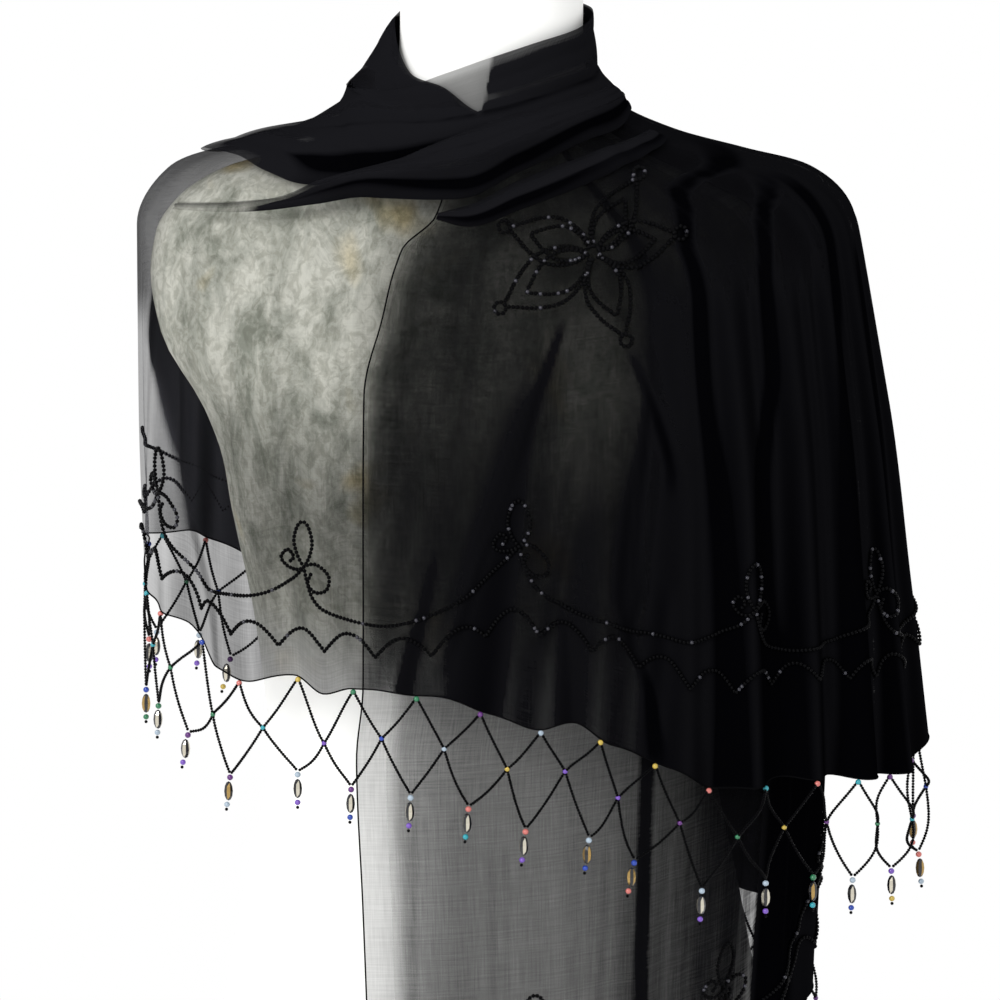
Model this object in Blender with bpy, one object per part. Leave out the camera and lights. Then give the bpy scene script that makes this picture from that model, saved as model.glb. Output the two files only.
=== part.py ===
"""A beaded shawl wound round a limbless dress form.

Metres, +Z up, the front faces -Y, the origin is the centre of the form's flat base.
Angles run round the form: 0 is its right-hand side in the picture (+X), 90 the back, 180 the
left and 270 the front. The shawl is one long oblong of voile wound as a spiral: its first end
hangs at the front as a tail, it passes the right side, the back and the left side, and its
second end lies over the front and stops at the right side. Its upper width is drawn up round
the neck in soft bands. Every stretch is taken from one draped surface, moved out in layers.
"""
import math
from collections import namedtuple

import bmesh
import bpy
from mathutils import Vector

# Driving dimensions
FORM_HEIGHT = 0.850
CLOTH_WALL = 0.0014
BAND_WALL = 0.0016
SEAM_GAP = 0.0008
LAYER_STEP = 0.0028
BAND_STEP = 0.0034

# The bead net: one cell of its repeat, measured down from the hem
NET_PITCH = 0.040
NET_JOINT_DROP = 0.030
NET_POINT_DROP = 0.058
NET_STRAND = 0.0017
NET_THICK = 0.0016
NET_STRIP = 0.0032
NET_CLEAR = 0.0006
NET_END_MARGIN = 0.0022
DROP_THICK = 0.0055
JOINT_HALF = 0.0013
# On a sloping hem the net hangs aside, towards the hem's higher end
NET_SWING = 0.6
SLOPE_REACH = 0.050
SWING_FADE = 0.045
# The drop below each point: distance down, half-width, whether of full thickness
DROP_PROFILE = (
    (0.0060, 0.0030, True),
    (0.0170, 0.0030, True),
    (0.0240, 0.0012, False),
)

# The form's level sections, from its base to the top of its neck
FormRow = namedtuple("FormRow", "z half_width y_centre half_depth")
FORM_ROWS = (
    FormRow(0.000, 0.146, 0.000, 0.096),
    FormRow(0.004, 0.150, 0.000, 0.100),
    FormRow(0.060, 0.156, 0.002, 0.106),
    FormRow(0.170, 0.163, 0.004, 0.112),
    FormRow(0.260, 0.150, 0.000, 0.100),
    FormRow(0.350, 0.134, -0.005, 0.088),
    FormRow(0.430, 0.142, -0.008, 0.100),
    FormRow(0.500, 0.156, -0.012, 0.111),
    FormRow(0.530, 0.161, -0.014, 0.114),
    FormRow(0.560, 0.172, -0.012, 0.110),
    FormRow(0.605, 0.198, -0.004, 0.094),
    FormRow(0.640, 0.204, 0.000, 0.082),
    FormRow(0.666, 0.200, 0.000, 0.071),
    FormRow(0.683, 0.189, 0.000, 0.063),
    FormRow(0.695, 0.174, 0.000, 0.058),
    FormRow(0.704, 0.155, 0.000, 0.056),
    FormRow(0.713, 0.116, 0.000, 0.055),
    FormRow(0.724, 0.084, 0.000, 0.055),
    FormRow(0.736, 0.067, 0.000, 0.054),
    FormRow(0.755, 0.057, 0.000, 0.053),
    FormRow(0.790, 0.0545, 0.000, 0.053),
    FormRow(0.844, 0.0545, 0.000, 0.053),
    FormRow(FORM_HEIGHT, 0.050, 0.000, 0.049),
)
FORM_SIDES = 30

# The draped surface: closed loops from the neck to the floor, each with its height at the
# sides, the front and the back, and its reach to the left, right, front and back
DrapeRow = namedtuple("DrapeRow", "z_side z_front z_back left right front back")
DRAPE_ROWS = (
    DrapeRow(0.800, 0.800, 0.802, 0.0580, 0.0580, 0.0570, 0.0570),
    DrapeRow(0.765, 0.762, 0.770, 0.0610, 0.0610, 0.0590, 0.0590),
    DrapeRow(0.741, 0.736, 0.746, 0.0720, 0.0720, 0.0640, 0.0620),
    DrapeRow(0.723, 0.710, 0.726, 0.1070, 0.1070, 0.0720, 0.0700),
    DrapeRow(0.711, 0.684, 0.704, 0.1500, 0.1500, 0.0810, 0.0840),
    DrapeRow(0.699, 0.656, 0.682, 0.1900, 0.1900, 0.0925, 0.0985),
    DrapeRow(0.668, 0.614, 0.654, 0.2120, 0.2120, 0.1075, 0.1100),
    DrapeRow(0.560, 0.532, 0.560, 0.2115, 0.2140, 0.1340, 0.1200),
    DrapeRow(0.450, 0.430, 0.450, 0.2080, 0.2080, 0.1350, 0.1230),
    DrapeRow(0.330, 0.320, 0.330, 0.2000, 0.1980, 0.1330, 0.1240),
    DrapeRow(0.180, 0.180, 0.180, 0.1960, 0.1860, 0.1300, 0.1220),
    DrapeRow(0.000, 0.000, 0.000, 0.1940, 0.1820, 0.1270, 0.1200),
)

# One stretch of the shawl: where it starts and ends round the form, where its upper edge
# lies on the draped surface (as a row number), the columns for one cell of its net, and its
# rows, which crowd towards the shoulder
Stretch = namedtuple("Stretch", "start end top_row columns_per_cell rows")
TAIL = Stretch(248.0, 380.0, 2.1, 3, 12)
BACK = Stretch(20.0, 180.0, 2.1, 3, 12)
FRONT = Stretch(180.0, 363.0, 2.1, 4, 12)
ROW_CROWDING = 1.5

# The hem line of each stretch
HemRow = namedtuple("HemRow", "angle z")
TAIL_HEM = (
    HemRow(246, 0.112),
    HemRow(270, 0.116),
    HemRow(290, 0.123),
    HemRow(318, 0.142),
    HemRow(335, 0.175),
    HemRow(350, 0.207),
    HemRow(362, 0.222),
    HemRow(380, 0.228),
)
BACK_HEM = (
    HemRow(20, 0.228),
    HemRow(45, 0.256),
    HemRow(70, 0.300),
    HemRow(90, 0.342),
    HemRow(115, 0.405),
    HemRow(138, 0.457),
    HemRow(152, 0.472),
    HemRow(170, 0.474),
    HemRow(180, 0.464),
)
FRONT_HEM = (
    HemRow(180, 0.464),
    HemRow(187, 0.450),
    HemRow(200, 0.446),
    HemRow(211, 0.441),
    HemRow(214, 0.435),
    HemRow(218, 0.415),
    HemRow(227, 0.411),
    HemRow(236, 0.417),
    HemRow(241.5, 0.406),
    HemRow(247, 0.412),
    HemRow(258, 0.410),
    HemRow(270, 0.400),
    HemRow(278, 0.390),
    HemRow(283, 0.394),
    HemRow(289, 0.381),
    HemRow(299, 0.366),
    HemRow(307, 0.353),
    HemRow(320, 0.357),
    HemRow(336, 0.353),
    HemRow(346, 0.352),
    HemRow(354, 0.368),
    HemRow(363, 0.382),
)

# The tail's plain left edge, which slants in from the neck: distance right of the middle
EdgeRow = namedtuple("EdgeRow", "z x")
TAIL_EDGE = (
    EdgeRow(0.100, -0.072),
    EdgeRow(0.280, -0.077),
    EdgeRow(0.366, -0.080),
    EdgeRow(0.410, -0.076),
    EdgeRow(0.583, -0.075),
    EdgeRow(0.630, -0.064),
    EdgeRow(0.668, -0.052),
    EdgeRow(0.688, -0.032),
    EdgeRow(0.745, -0.016),
)

# Folds stand out from the draped surface. Each runs from its start height to the hem, from
# one angle to another, and grows to its depth; its width is the half-width of its rounded back
FoldRow = namedtuple("FoldRow", "top_angle hem_angle start_z depth width")
FRONT_FOLDS = (
    FoldRow(205, 206, 0.600, 0.008, 6.0),
    FoldRow(226, 228, 0.560, 0.006, 5.0),
    FoldRow(262, 254, 0.600, 0.006, 5.0),
    FoldRow(279, 272, 0.640, 0.009, 4.5),
    FoldRow(290, 286, 0.640, 0.010, 4.5),
    FoldRow(301, 301, 0.700, 0.014, 4.5),
    FoldRow(309, 312, 0.735, 0.022, 4.0),
    FoldRow(322, 323, 0.725, 0.020, 4.2),
    FoldRow(333, 334, 0.715, 0.020, 4.0),
    FoldRow(344, 344, 0.705, 0.018, 3.6),
    FoldRow(354, 353, 0.690, 0.014, 3.4),
)
BACK_FOLDS = (
    FoldRow(34, 33, 0.600, 0.014, 5.0),
    FoldRow(52, 50, 0.640, 0.012, 6.0),
    FoldRow(74, 72, 0.660, 0.016, 6.0),
    FoldRow(96, 97, 0.650, 0.012, 5.5),
    FoldRow(117, 119, 0.640, 0.015, 6.0),
    FoldRow(139, 141, 0.620, 0.010, 5.0),
    FoldRow(160, 161, 0.620, 0.012, 5.0),
)
TAIL_FOLDS = (
    FoldRow(262, 261, 0.420, 0.003, 5.0),
    FoldRow(281, 283, 0.400, 0.004, 5.0),
    FoldRow(298, 297, 0.400, 0.010, 3.6),
    FoldRow(314, 313, 0.400, 0.005, 4.5),
    FoldRow(332, 333, 0.420, 0.010, 4.5),
    FoldRow(350, 350, 0.400, 0.009, 4.5),
    FoldRow(368, 368, 0.420, 0.010, 4.5),
)

# The front stretch swings out to the right: how far at its hem, by angle
FlareRow = namedtuple("FlareRow", "angle reach")
FRONT_FLARE = (
    FlareRow(180, 0.000),
    FlareRow(250, 0.003),
    FlareRow(275, 0.006),
    FlareRow(300, 0.013),
    FlareRow(325, 0.029),
    FlareRow(345, 0.045),
    FlareRow(363, 0.056),
)
FLARE_START_Z = 0.715
FLARE_HEM_Z = 0.350
FLARE_POWER = 1.35

# The single cloth on the left shoulder stands up in a soft puff
PUFF_HEIGHT = 0.007
PUFF_ANGLE = 186.0
PUFF_SPREAD = 26.0
PUFF_Z = 0.708
PUFF_DEEP = 0.016

# The neck pieces: strips of the draped surface moved out, each row one place round the neck
# with the strip's upper and lower height there and how far it is rounded out between them
NeckRow = namedtuple("NeckRow", "angle z_upper z_lower bulge")
COLLAR = (
    NeckRow(0, 0.766, 0.741, 0.001),
    NeckRow(45, 0.790, 0.742, 0.001),
    NeckRow(90, 0.796, 0.744, 0.002),
    NeckRow(135, 0.797, 0.738, 0.007),
    NeckRow(160, 0.795, 0.735, 0.012),
    NeckRow(180, 0.791, 0.731, 0.016),
    NeckRow(200, 0.776, 0.728, 0.013),
    NeckRow(220, 0.763, 0.721, 0.008),
    NeckRow(240, 0.759, 0.714, 0.005),
    NeckRow(270, 0.743, 0.716, 0.002),
    NeckRow(300, 0.750, 0.734, 0.001),
    NeckRow(330, 0.756, 0.739, 0.001),
    NeckRow(360, 0.766, 0.741, 0.001),
)
BAND_UPPER = (
    NeckRow(0, 0.797, 0.738, 0.000),
    NeckRow(45, 0.798, 0.738, 0.001),
    NeckRow(90, 0.790, 0.730, 0.002),
    NeckRow(135, 0.768, 0.715, 0.004),
    NeckRow(160, 0.750, 0.703, 0.004),
    NeckRow(180, 0.740, 0.706, 0.003),
    NeckRow(197, 0.742, 0.707, 0.003),
    NeckRow(212, 0.750, 0.703, 0.003),
    NeckRow(224, 0.757, 0.699, 0.003),
    NeckRow(236, 0.763, 0.700, 0.003),
    NeckRow(250, 0.769, 0.709, 0.002),
    NeckRow(270, 0.777, 0.722, 0.002),
    NeckRow(300, 0.786, 0.732, 0.001),
    NeckRow(330, 0.791, 0.738, 0.000),
    NeckRow(360, 0.797, 0.738, 0.000),
)
BAND_LOWER = (
    NeckRow(203, 0.686, 0.682, 0.001),
    NeckRow(217, 0.689, 0.683, 0.003),
    NeckRow(224, 0.692, 0.685, 0.004),
    NeckRow(231, 0.701, 0.689, 0.006),
    NeckRow(241, 0.712, 0.693, 0.008),
    NeckRow(253, 0.725, 0.693, 0.009),
    NeckRow(262, 0.733, 0.694, 0.010),
    NeckRow(278, 0.742, 0.709, 0.010),
    NeckRow(304, 0.748, 0.723, 0.007),
    NeckRow(325, 0.751, 0.728, 0.004),
    NeckRow(342, 0.751, 0.733, 0.001),
)
FOLD_LOW = (
    NeckRow(258, 0.686, 0.682, 0.001),
    NeckRow(265, 0.691, 0.678, 0.003),
    NeckRow(277, 0.704, 0.688, 0.005),
    NeckRow(297, 0.715, 0.702, 0.005),
    NeckRow(316, 0.721, 0.712, 0.003),
    NeckRow(337, 0.725, 0.720, 0.001),
)
NECK_LIFT = -0.0012
REST_CLEAR = 0.0009
BAND_ROLL = 0.0012
NECK_LIFT_ROW = 1.2
SHOULDER_LIFT_ROW = 1.95


def make_material(name, colour, roughness, metallic=0.0):
    material = bpy.data.materials.new(name)
    material.use_nodes = True
    shader = material.node_tree.nodes["Principled BSDF"]
    shader.inputs["Base Color"].default_value = (*colour, 1.0)
    shader.inputs["Roughness"].default_value = roughness
    shader.inputs["Metallic"].default_value = metallic
    return material


def curve(points, x):
    """Smooth value at x through (x, value) points, with no overshoot between them."""
    if x <= points[0][0]:
        return points[0][1]
    if x >= points[-1][0]:
        return points[-1][1]
    i = 0
    while x > points[i + 1][0]:
        i += 1
    slopes = []
    for n in (i - 1, i, i + 1):
        n = min(max(n, 0), len(points) - 2)
        slopes.append((points[n + 1][1] - points[n][1]) / (points[n + 1][0] - points[n][0]))
    before, here, after = slopes
    start = 2 * before * here / (before + here) if before * here > 0 else 0.0
    end = 2 * here * after / (here + after) if here * after > 0 else 0.0
    width = points[i + 1][0] - points[i][0]
    t = (x - points[i][0]) / width
    return (points[i][1] * (1 + 2 * t) * (1 - t) ** 2
            + points[i + 1][1] * t * t * (3 - 2 * t)
            + width * t * (1 - t) * (start * (1 - t) - end * t))


def smooth_step(low, high, x):
    t = min(max((x - low) / (high - low), 0.0), 1.0)
    return t * t * (3 - 2 * t)


def table_column(rows, column):
    return [(number, getattr(row, column)) for number, row in enumerate(rows)]


DRAPE_COLUMNS = {name: table_column(DRAPE_ROWS, name) for name in DrapeRow._fields}


def drape_point(angle, row):
    """Point of the draped surface at an angle round the form and a fractional row number."""
    across = math.cos(math.radians(angle))
    deep = math.sin(math.radians(angle))
    value = {name: curve(points, row) for name, points in DRAPE_COLUMNS.items()}
    right = 0.5 + 0.5 * across
    behind = 0.5 + 0.5 * deep
    x = across * (value["left"] * (1 - right) + value["right"] * right)
    y = deep * (value["front"] * (1 - behind) + value["back"] * behind)
    z_middle = value["z_front"] * (1 - behind) + value["z_back"] * behind
    z = value["z_side"] * across ** 2 + z_middle * deep ** 2
    return Vector((x, y, z))


def drape_normal(angle, row):
    """Outward direction of the draped surface."""
    step = 0.05
    round_form = drape_point(angle + step * 10, row) - drape_point(angle - step * 10, row)
    high = max(row - step, 0.0)
    low = min(row + step, len(DRAPE_ROWS) - 1.0)
    down = drape_point(angle, low) - drape_point(angle, high)
    return down.cross(round_form).normalized()


def row_at(angle, z):
    """Row number at which the draped surface has the height z."""
    high, low = 0.0, len(DRAPE_ROWS) - 1.0
    for _ in range(30):
        middle = (high + low) / 2
        if drape_point(angle, middle).z > z:
            high = middle
        else:
            low = middle
    return (high + low) / 2


def fold_lift(folds, angle, z, hem_z):
    """How far the folds stand out at one place."""
    lift = 0.0
    for fold in folds:
        reach = min(max((fold.start_z - z) / (fold.start_z - hem_z), 0.0), 1.0)
        centre = fold.top_angle + (fold.hem_angle - fold.top_angle) * reach
        side = (angle - centre) / fold.width
        if abs(side) < 2.5:
            lift += fold.depth * reach ** 0.8 * math.exp(-side * side)
    return lift


def puff_lift(angle, z):
    round_form = (angle - PUFF_ANGLE) / PUFF_SPREAD
    up = (z - PUFF_Z) / PUFF_DEEP
    return PUFF_HEIGHT * math.exp(-round_form ** 2 - up ** 2)


def front_lift(angle, z):
    """Lift of the front stretch: over the tail from its edge on, and swung out to the right."""
    over_tail = LAYER_STEP * smooth_step(236.0, 246.0, angle)
    fall = (FLARE_START_Z - z) / (FLARE_START_Z - FLARE_HEM_Z)
    flare = curve(FRONT_FLARE, angle) * max(fall, 0.0) ** FLARE_POWER
    folds = fold_lift(FRONT_FOLDS, angle, z, curve(FRONT_HEM, angle))
    return over_tail + flare + folds + puff_lift(angle, z)


def back_lift(angle, z):
    return fold_lift(BACK_FOLDS, angle, z, curve(BACK_HEM, angle)) + puff_lift(angle, z)


def tail_lift(angle, z):
    return fold_lift(TAIL_FOLDS, angle, z, curve(TAIL_HEM, angle))


def stack_lift(row):
    """Lift of the collar: close to the neck above, clear of the stretches' edges below."""
    return NECK_LIFT + (2 * LAYER_STEP - 0.0008 - NECK_LIFT) * smooth_step(
        NECK_LIFT_ROW, SHOULDER_LIFT_ROW, row)


def lifted_point(angle, row, lift):
    return drape_point(angle, row) + drape_normal(angle, row) * lift


def strip_grid(name, grid, closed, wall, material):
    """A wall of cloth through a grid of points, given as columns from top to bottom."""
    columns = len(grid)
    rows = len(grid[0])
    mesh = bpy.data.meshes.new(name)
    bm = bmesh.new()
    vertices = [[bm.verts.new(point) for point in column] for column in grid]
    for c in range(columns if closed else columns - 1):
        here = vertices[c]
        beside = vertices[(c + 1) % columns]
        for r in range(rows - 1):
            bm.faces.new((here[r], here[r + 1], beside[r + 1], beside[r]))
    bmesh.ops.recalc_face_normals(bm, faces=bm.faces)
    bm.to_mesh(mesh)
    bm.free()
    return make_object(name, mesh, wall, material)


def make_object(name, mesh, wall, material):
    mesh.materials.append(material)
    mesh.shade_smooth()
    piece = bpy.data.objects.new(name, mesh)
    bpy.context.scene.collection.objects.link(piece)
    if wall:
        solidify = piece.modifiers.new("wall", "SOLIDIFY")
        solidify.thickness = wall
        solidify.offset = 0.0
        solidify.use_even_offset = False
    return piece


def column_points(angle_at, top_row, bottom_row, lift_at, count):
    """Points down one column, closer together at its top. angle_at gives the angle at a height."""
    samples = []
    steps = 60
    for n in range(steps + 1):
        row = top_row + (bottom_row - top_row) * n / steps
        angle = angle_at(drape_point(angle_at(0.5), row).z)
        base = drape_point(angle, row)
        samples.append(base + drape_normal(angle, row) * lift_at(angle, base.z))
    return spaced_points(samples, count)


def spaced_points(samples, count):
    lengths = [0.0]
    for a, b in zip(samples, samples[1:]):
        lengths.append(lengths[-1] + (b - a).length)
    points = []
    n = 0
    for i in range(count):
        target = lengths[-1] * (i / (count - 1)) ** ROW_CROWDING
        while n < len(lengths) - 2 and lengths[n + 1] < target:
            n += 1
        t = (target - lengths[n]) / (lengths[n + 1] - lengths[n])
        points.append(samples[n].lerp(samples[n + 1], min(max(t, 0.0), 1.0)))
    return points


def stretch_shares(stretch, hem, lift_at):
    """Shares of the way round at which columns stand, evenly spaced along the hem."""
    steps = 400
    samples = []
    for n in range(steps + 1):
        angle = stretch.start + (stretch.end - stretch.start) * n / steps
        row = row_at(angle, curve(hem, angle))
        samples.append(lifted_point(angle, row, lift_at(angle, curve(hem, angle))))
    lengths = [0.0]
    for a, b in zip(samples, samples[1:]):
        lengths.append(lengths[-1] + (b - a).length)
    cells = round(lengths[-1] / NET_PITCH)
    columns = cells * stretch.columns_per_cell
    shares = []
    n = 0
    for i in range(columns + 1):
        target = lengths[-1] * i / columns
        while n < steps - 1 and lengths[n + 1] < target:
            n += 1
        t = (target - lengths[n]) / (lengths[n + 1] - lengths[n])
        shares.append((n + t) / steps)
    return shares, cells


def tail_start(z):
    """Angle of the tail's plain edge at a height."""
    row = row_at(255.0, z)
    reach = curve(DRAPE_COLUMNS["left"], row)
    return 360.0 - math.degrees(math.acos(curve(TAIL_EDGE, z) / reach))


def part_seam(edge, neighbour):
    """Draw an edge column back towards its neighbour by half of the seam's gap."""
    for number, (point, inner) in enumerate(zip(edge, neighbour)):
        edge[number] = point + (inner - point).normalized() * SEAM_GAP / 2


def make_stretch(name, stretch, hem, lift_at, material, slanted=False):
    """One stretch of cloth and the line of its hem."""
    shares, cells = stretch_shares(stretch, hem, lift_at)
    grid = []
    for share in shares:
        angle = stretch.start + (stretch.end - stretch.start) * share
        if slanted:
            def angle_at(z, share=share):
                edge = tail_start(z)
                return edge + (stretch.end - edge) * share
        else:
            def angle_at(z, angle=angle):
                return angle
        bottom = row_at(angle_at(curve(hem, angle)), curve(hem, angle))
        grid.append(column_points(angle_at, stretch.top_row, bottom, lift_at, stretch.rows))
    part_seam(grid[0], grid[1])
    part_seam(grid[-1], grid[-2])
    strip_grid(name, grid, False, CLOTH_WALL, material)
    return [column[-1] for column in grid], cells


def hem_point(hem_line, lengths, along):
    """Point a distance along the hem."""
    n = 0
    while n < len(lengths) - 2 and lengths[n + 1] < along:
        n += 1
    t = (along - lengths[n]) / (lengths[n + 1] - lengths[n])
    return hem_line[n].lerp(hem_line[n + 1], min(max(t, 0.0), 1.0))


def net_place(hem_line, lengths, along, down):
    """Point of the net: along the hem, down from it, and swung aside where the hem slopes."""
    before = max(along - SLOPE_REACH, 0.0)
    after = min(along + SLOPE_REACH, lengths[-1])
    rise = hem_point(hem_line, lengths, after).z - hem_point(hem_line, lengths, before).z
    fade = smooth_step(0.0, SWING_FADE, min(along, lengths[-1] - along))
    swing = NET_SWING * fade * down * rise / (after - before)
    point = hem_point(hem_line, lengths, along + swing)
    point.z = hem_point(hem_line, lengths, along).z - down
    return point


def make_net(name, hem_line, cells, material):
    """The bead net below a hem: a narrow strip, crossing strands and a drop in each cell."""
    lengths = [0.0]
    for a, b in zip(hem_line, hem_line[1:]):
        lengths.append(lengths[-1] + (b - a).length)
    usable = lengths[-1] - 2 * NET_END_MARGIN
    pitch = usable / cells
    strip_top = NET_CLEAR
    strip_bottom = NET_CLEAR + NET_STRIP
    bm = bmesh.new()
    full = []

    def vertex(along, down):
        return bm.verts.new(net_place(hem_line, lengths, along, down))

    def face(*corners):
        bm.faces.new(corners)

    roots = [NET_END_MARGIN + pitch * (cell + 0.5) for cell in range(cells)]
    stations = {NET_END_MARGIN, lengths[-1] - NET_END_MARGIN}
    for length in lengths[1:-1]:
        if min(abs(length - root) for root in roots) > 2 * NET_STRAND:
            stations.add(length)
    for root in roots:
        stations.update((root - NET_STRAND, root, root + NET_STRAND))
    ordered = sorted(stations)
    upper = {along: vertex(along, strip_top) for along in ordered}
    lower = {along: vertex(along, strip_bottom) for along in ordered}
    for a, b in zip(ordered, ordered[1:]):
        face(upper[a], lower[a], lower[b], upper[b])

    joints = []
    for number in range(cells + 1):
        along = NET_END_MARGIN + pitch * number
        top = vertex(along, NET_JOINT_DROP - JOINT_HALF)
        left = vertex(along - JOINT_HALF, NET_JOINT_DROP)
        bottom = vertex(along, NET_JOINT_DROP + JOINT_HALF)
        right = vertex(along + JOINT_HALF, NET_JOINT_DROP)
        face(top, left, bottom, right)
        joints.append((top, left, bottom, right))

    for number, root in enumerate(roots):
        before = joints[number]
        after = joints[number + 1]
        face(lower[root - NET_STRAND], before[0], before[3], lower[root])
        face(lower[root], after[1], after[0], lower[root + NET_STRAND])
        peak = vertex(root, NET_POINT_DROP)
        left = vertex(root - JOINT_HALF, NET_POINT_DROP + JOINT_HALF)
        right = vertex(root + JOINT_HALF, NET_POINT_DROP + JOINT_HALF)
        face(before[2], left, peak, before[3])
        face(peak, right, after[2], after[1])
        face(peak, left, right)
        for down, half, is_full in DROP_PROFILE:
            next_left = vertex(root - half, NET_POINT_DROP + down)
            next_right = vertex(root + half, NET_POINT_DROP + down)
            face(left, next_left, next_right, right)
            left, right = next_left, next_right
            if is_full:
                full.extend((left, right))
    bmesh.ops.recalc_face_normals(bm, faces=bm.faces)
    bm.verts.index_update()
    full_numbers = [v.index for v in full]
    mesh = bpy.data.meshes.new(name)
    bm.to_mesh(mesh)
    bm.free()
    net = make_object(name, mesh, DROP_THICK, material)
    thick = net.vertex_groups.new(name="drop")
    thick.add(full_numbers, 1.0, "REPLACE")
    net.modifiers["wall"].vertex_group = "drop"
    net.modifiers["wall"].thickness_vertex_group = NET_THICK / DROP_THICK
    return net


def neck_strip(name, rows, columns, across, lift_at, material, closed):
    """A neck piece: a strip of the draped surface, moved out and rounded."""
    uppers = [(row.angle, row.z_upper) for row in rows]
    lowers = [(row.angle, row.z_lower) for row in rows]
    bulges = [(row.angle, row.bulge) for row in rows]
    grid = []
    for c in range(columns if closed else columns + 1):
        angle = rows[0].angle + (rows[-1].angle - rows[0].angle) * c / columns
        high = row_at(angle, curve(uppers, angle))
        low = row_at(angle, curve(lowers, angle))
        column = []
        for r in range(across + 1):
            share = r / across
            row = high + (low - high) * share
            rounded = curve(bulges, angle) * math.sin(math.pi * share) ** 0.8
            column.append(lifted_point(angle, row, lift_at(angle, row) + rounded))
        grid.append(column)
    strip_grid(name, grid, closed, BAND_WALL, material)


def neck_rows(rows, angle):
    """Row numbers of a neck piece's upper and lower edges, and its bulge, at an angle."""
    high = row_at(angle, curve([(row.angle, row.z_upper) for row in rows], angle))
    low = row_at(angle, curve([(row.angle, row.z_lower) for row in rows], angle))
    return high, low, curve([(row.angle, row.bulge) for row in rows], angle)


def rest_lift(angle, row):
    """Lift of a neck piece that lies straight on the stretches."""
    z = drape_point(angle, row).z
    under = front_lift(angle, z) if angle > FRONT.start else back_lift(angle, z)
    return under + CLOTH_WALL / 2 + BAND_WALL / 2 + REST_CLEAR


def settle(angle, row, lift, edge_row):
    """Let a piece down on to the stretches below the edge of the piece that it covers."""
    down = smooth_step(edge_row + 0.05, edge_row + 0.55, row)
    return lift * (1 - down) + rest_lift(angle, row) * down


def collar_lift(angle, row):
    return stack_lift(row)


def collar_outside(angle, row):
    """Lift of the collar with its rounding, which the bands lie on."""
    high, low, bulge = neck_rows(COLLAR, angle)
    share = min(max((row - high) / (low - high), 0.0), 1.0)
    return stack_lift(row) + bulge * math.sin(math.pi * share) ** 0.8


def band_upper_lift(angle, row):
    edge_row = neck_rows(COLLAR, angle)[1]
    return settle(angle, row, collar_outside(angle, row) + BAND_STEP, edge_row)


def band_lower_lift(angle, row):
    edge_row = neck_rows(BAND_UPPER, angle)[1]
    return settle(angle, row, collar_outside(angle, row) + 2 * BAND_STEP + BAND_ROLL, edge_row)


def fold_low_lift(angle, row):
    return rest_lift(angle, row)


def make_form(material):
    """The limbless torso: level sections joined from a flat base to a flat neck."""
    mesh = bpy.data.meshes.new("dress_form")
    bm = bmesh.new()
    rings = []
    for form_row in FORM_ROWS:
        ring = []
        for n in range(FORM_SIDES):
            angle = 2 * math.pi * n / FORM_SIDES
            x = form_row.half_width * math.cos(angle)
            y = form_row.y_centre + form_row.half_depth * math.sin(angle)
            ring.append(bm.verts.new((x, y, form_row.z)))
        rings.append(ring)
    for below, above in zip(rings, rings[1:]):
        for n in range(FORM_SIDES):
            m = (n + 1) % FORM_SIDES
            bm.faces.new((below[n], below[m], above[m], above[n]))
    bm.faces.new(list(reversed(rings[0])))
    bm.faces.new(rings[-1])
    bm.to_mesh(mesh)
    bm.free()
    make_object("dress_form", mesh, 0.0, material)


def build():
    for old in list(bpy.data.objects):
        bpy.data.objects.remove(old, do_unlink=True)
    voile = make_material("black_voile", (0.012, 0.012, 0.013), 0.85)
    beads = make_material("black_beads", (0.010, 0.010, 0.012), 0.25)
    form_cloth = make_material("form_cover", (0.74, 0.72, 0.64), 0.8)

    make_form(form_cloth)
    tail_hem, tail_cells = make_stretch("shawl_tail", TAIL, TAIL_HEM, tail_lift, voile, True)
    back_hem, back_cells = make_stretch("shawl_back", BACK, BACK_HEM, back_lift, voile)
    front_hem, front_cells = make_stretch("shawl_front", FRONT, FRONT_HEM, front_lift, voile)
    make_net("net_tail", tail_hem, tail_cells, beads)
    make_net("net_back", back_hem, back_cells, beads)
    make_net("net_front", front_hem, front_cells, beads)

    neck_strip("neck_collar", COLLAR, 36, 5, collar_lift, voile, True)
    neck_strip("neck_band_upper", BAND_UPPER, 36, 5, band_upper_lift, voile, True)
    neck_strip("neck_band_lower", BAND_LOWER, 26, 4, band_lower_lift, voile, False)
    neck_strip("neck_fold_low", FOLD_LOW, 18, 3, fold_low_lift, voile, False)


build()
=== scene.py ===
import math
import random

import bmesh
import bpy
import numpy as np
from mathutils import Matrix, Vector


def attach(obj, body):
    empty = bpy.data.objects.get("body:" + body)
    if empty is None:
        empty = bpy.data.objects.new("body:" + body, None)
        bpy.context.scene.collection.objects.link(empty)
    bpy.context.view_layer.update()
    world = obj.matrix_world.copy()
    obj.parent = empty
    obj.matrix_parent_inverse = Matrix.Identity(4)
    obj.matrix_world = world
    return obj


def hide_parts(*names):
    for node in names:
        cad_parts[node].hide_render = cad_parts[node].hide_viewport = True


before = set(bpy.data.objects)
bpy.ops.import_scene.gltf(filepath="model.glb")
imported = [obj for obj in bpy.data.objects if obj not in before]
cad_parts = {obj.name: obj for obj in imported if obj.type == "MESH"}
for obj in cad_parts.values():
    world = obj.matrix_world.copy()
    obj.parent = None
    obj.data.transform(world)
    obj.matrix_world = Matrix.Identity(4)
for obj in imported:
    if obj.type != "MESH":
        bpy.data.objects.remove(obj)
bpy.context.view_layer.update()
scene = bpy.context.scene
scene.view_settings.view_transform = "Standard"
random.seed(7)
noise = np.random.default_rng(7)

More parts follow.
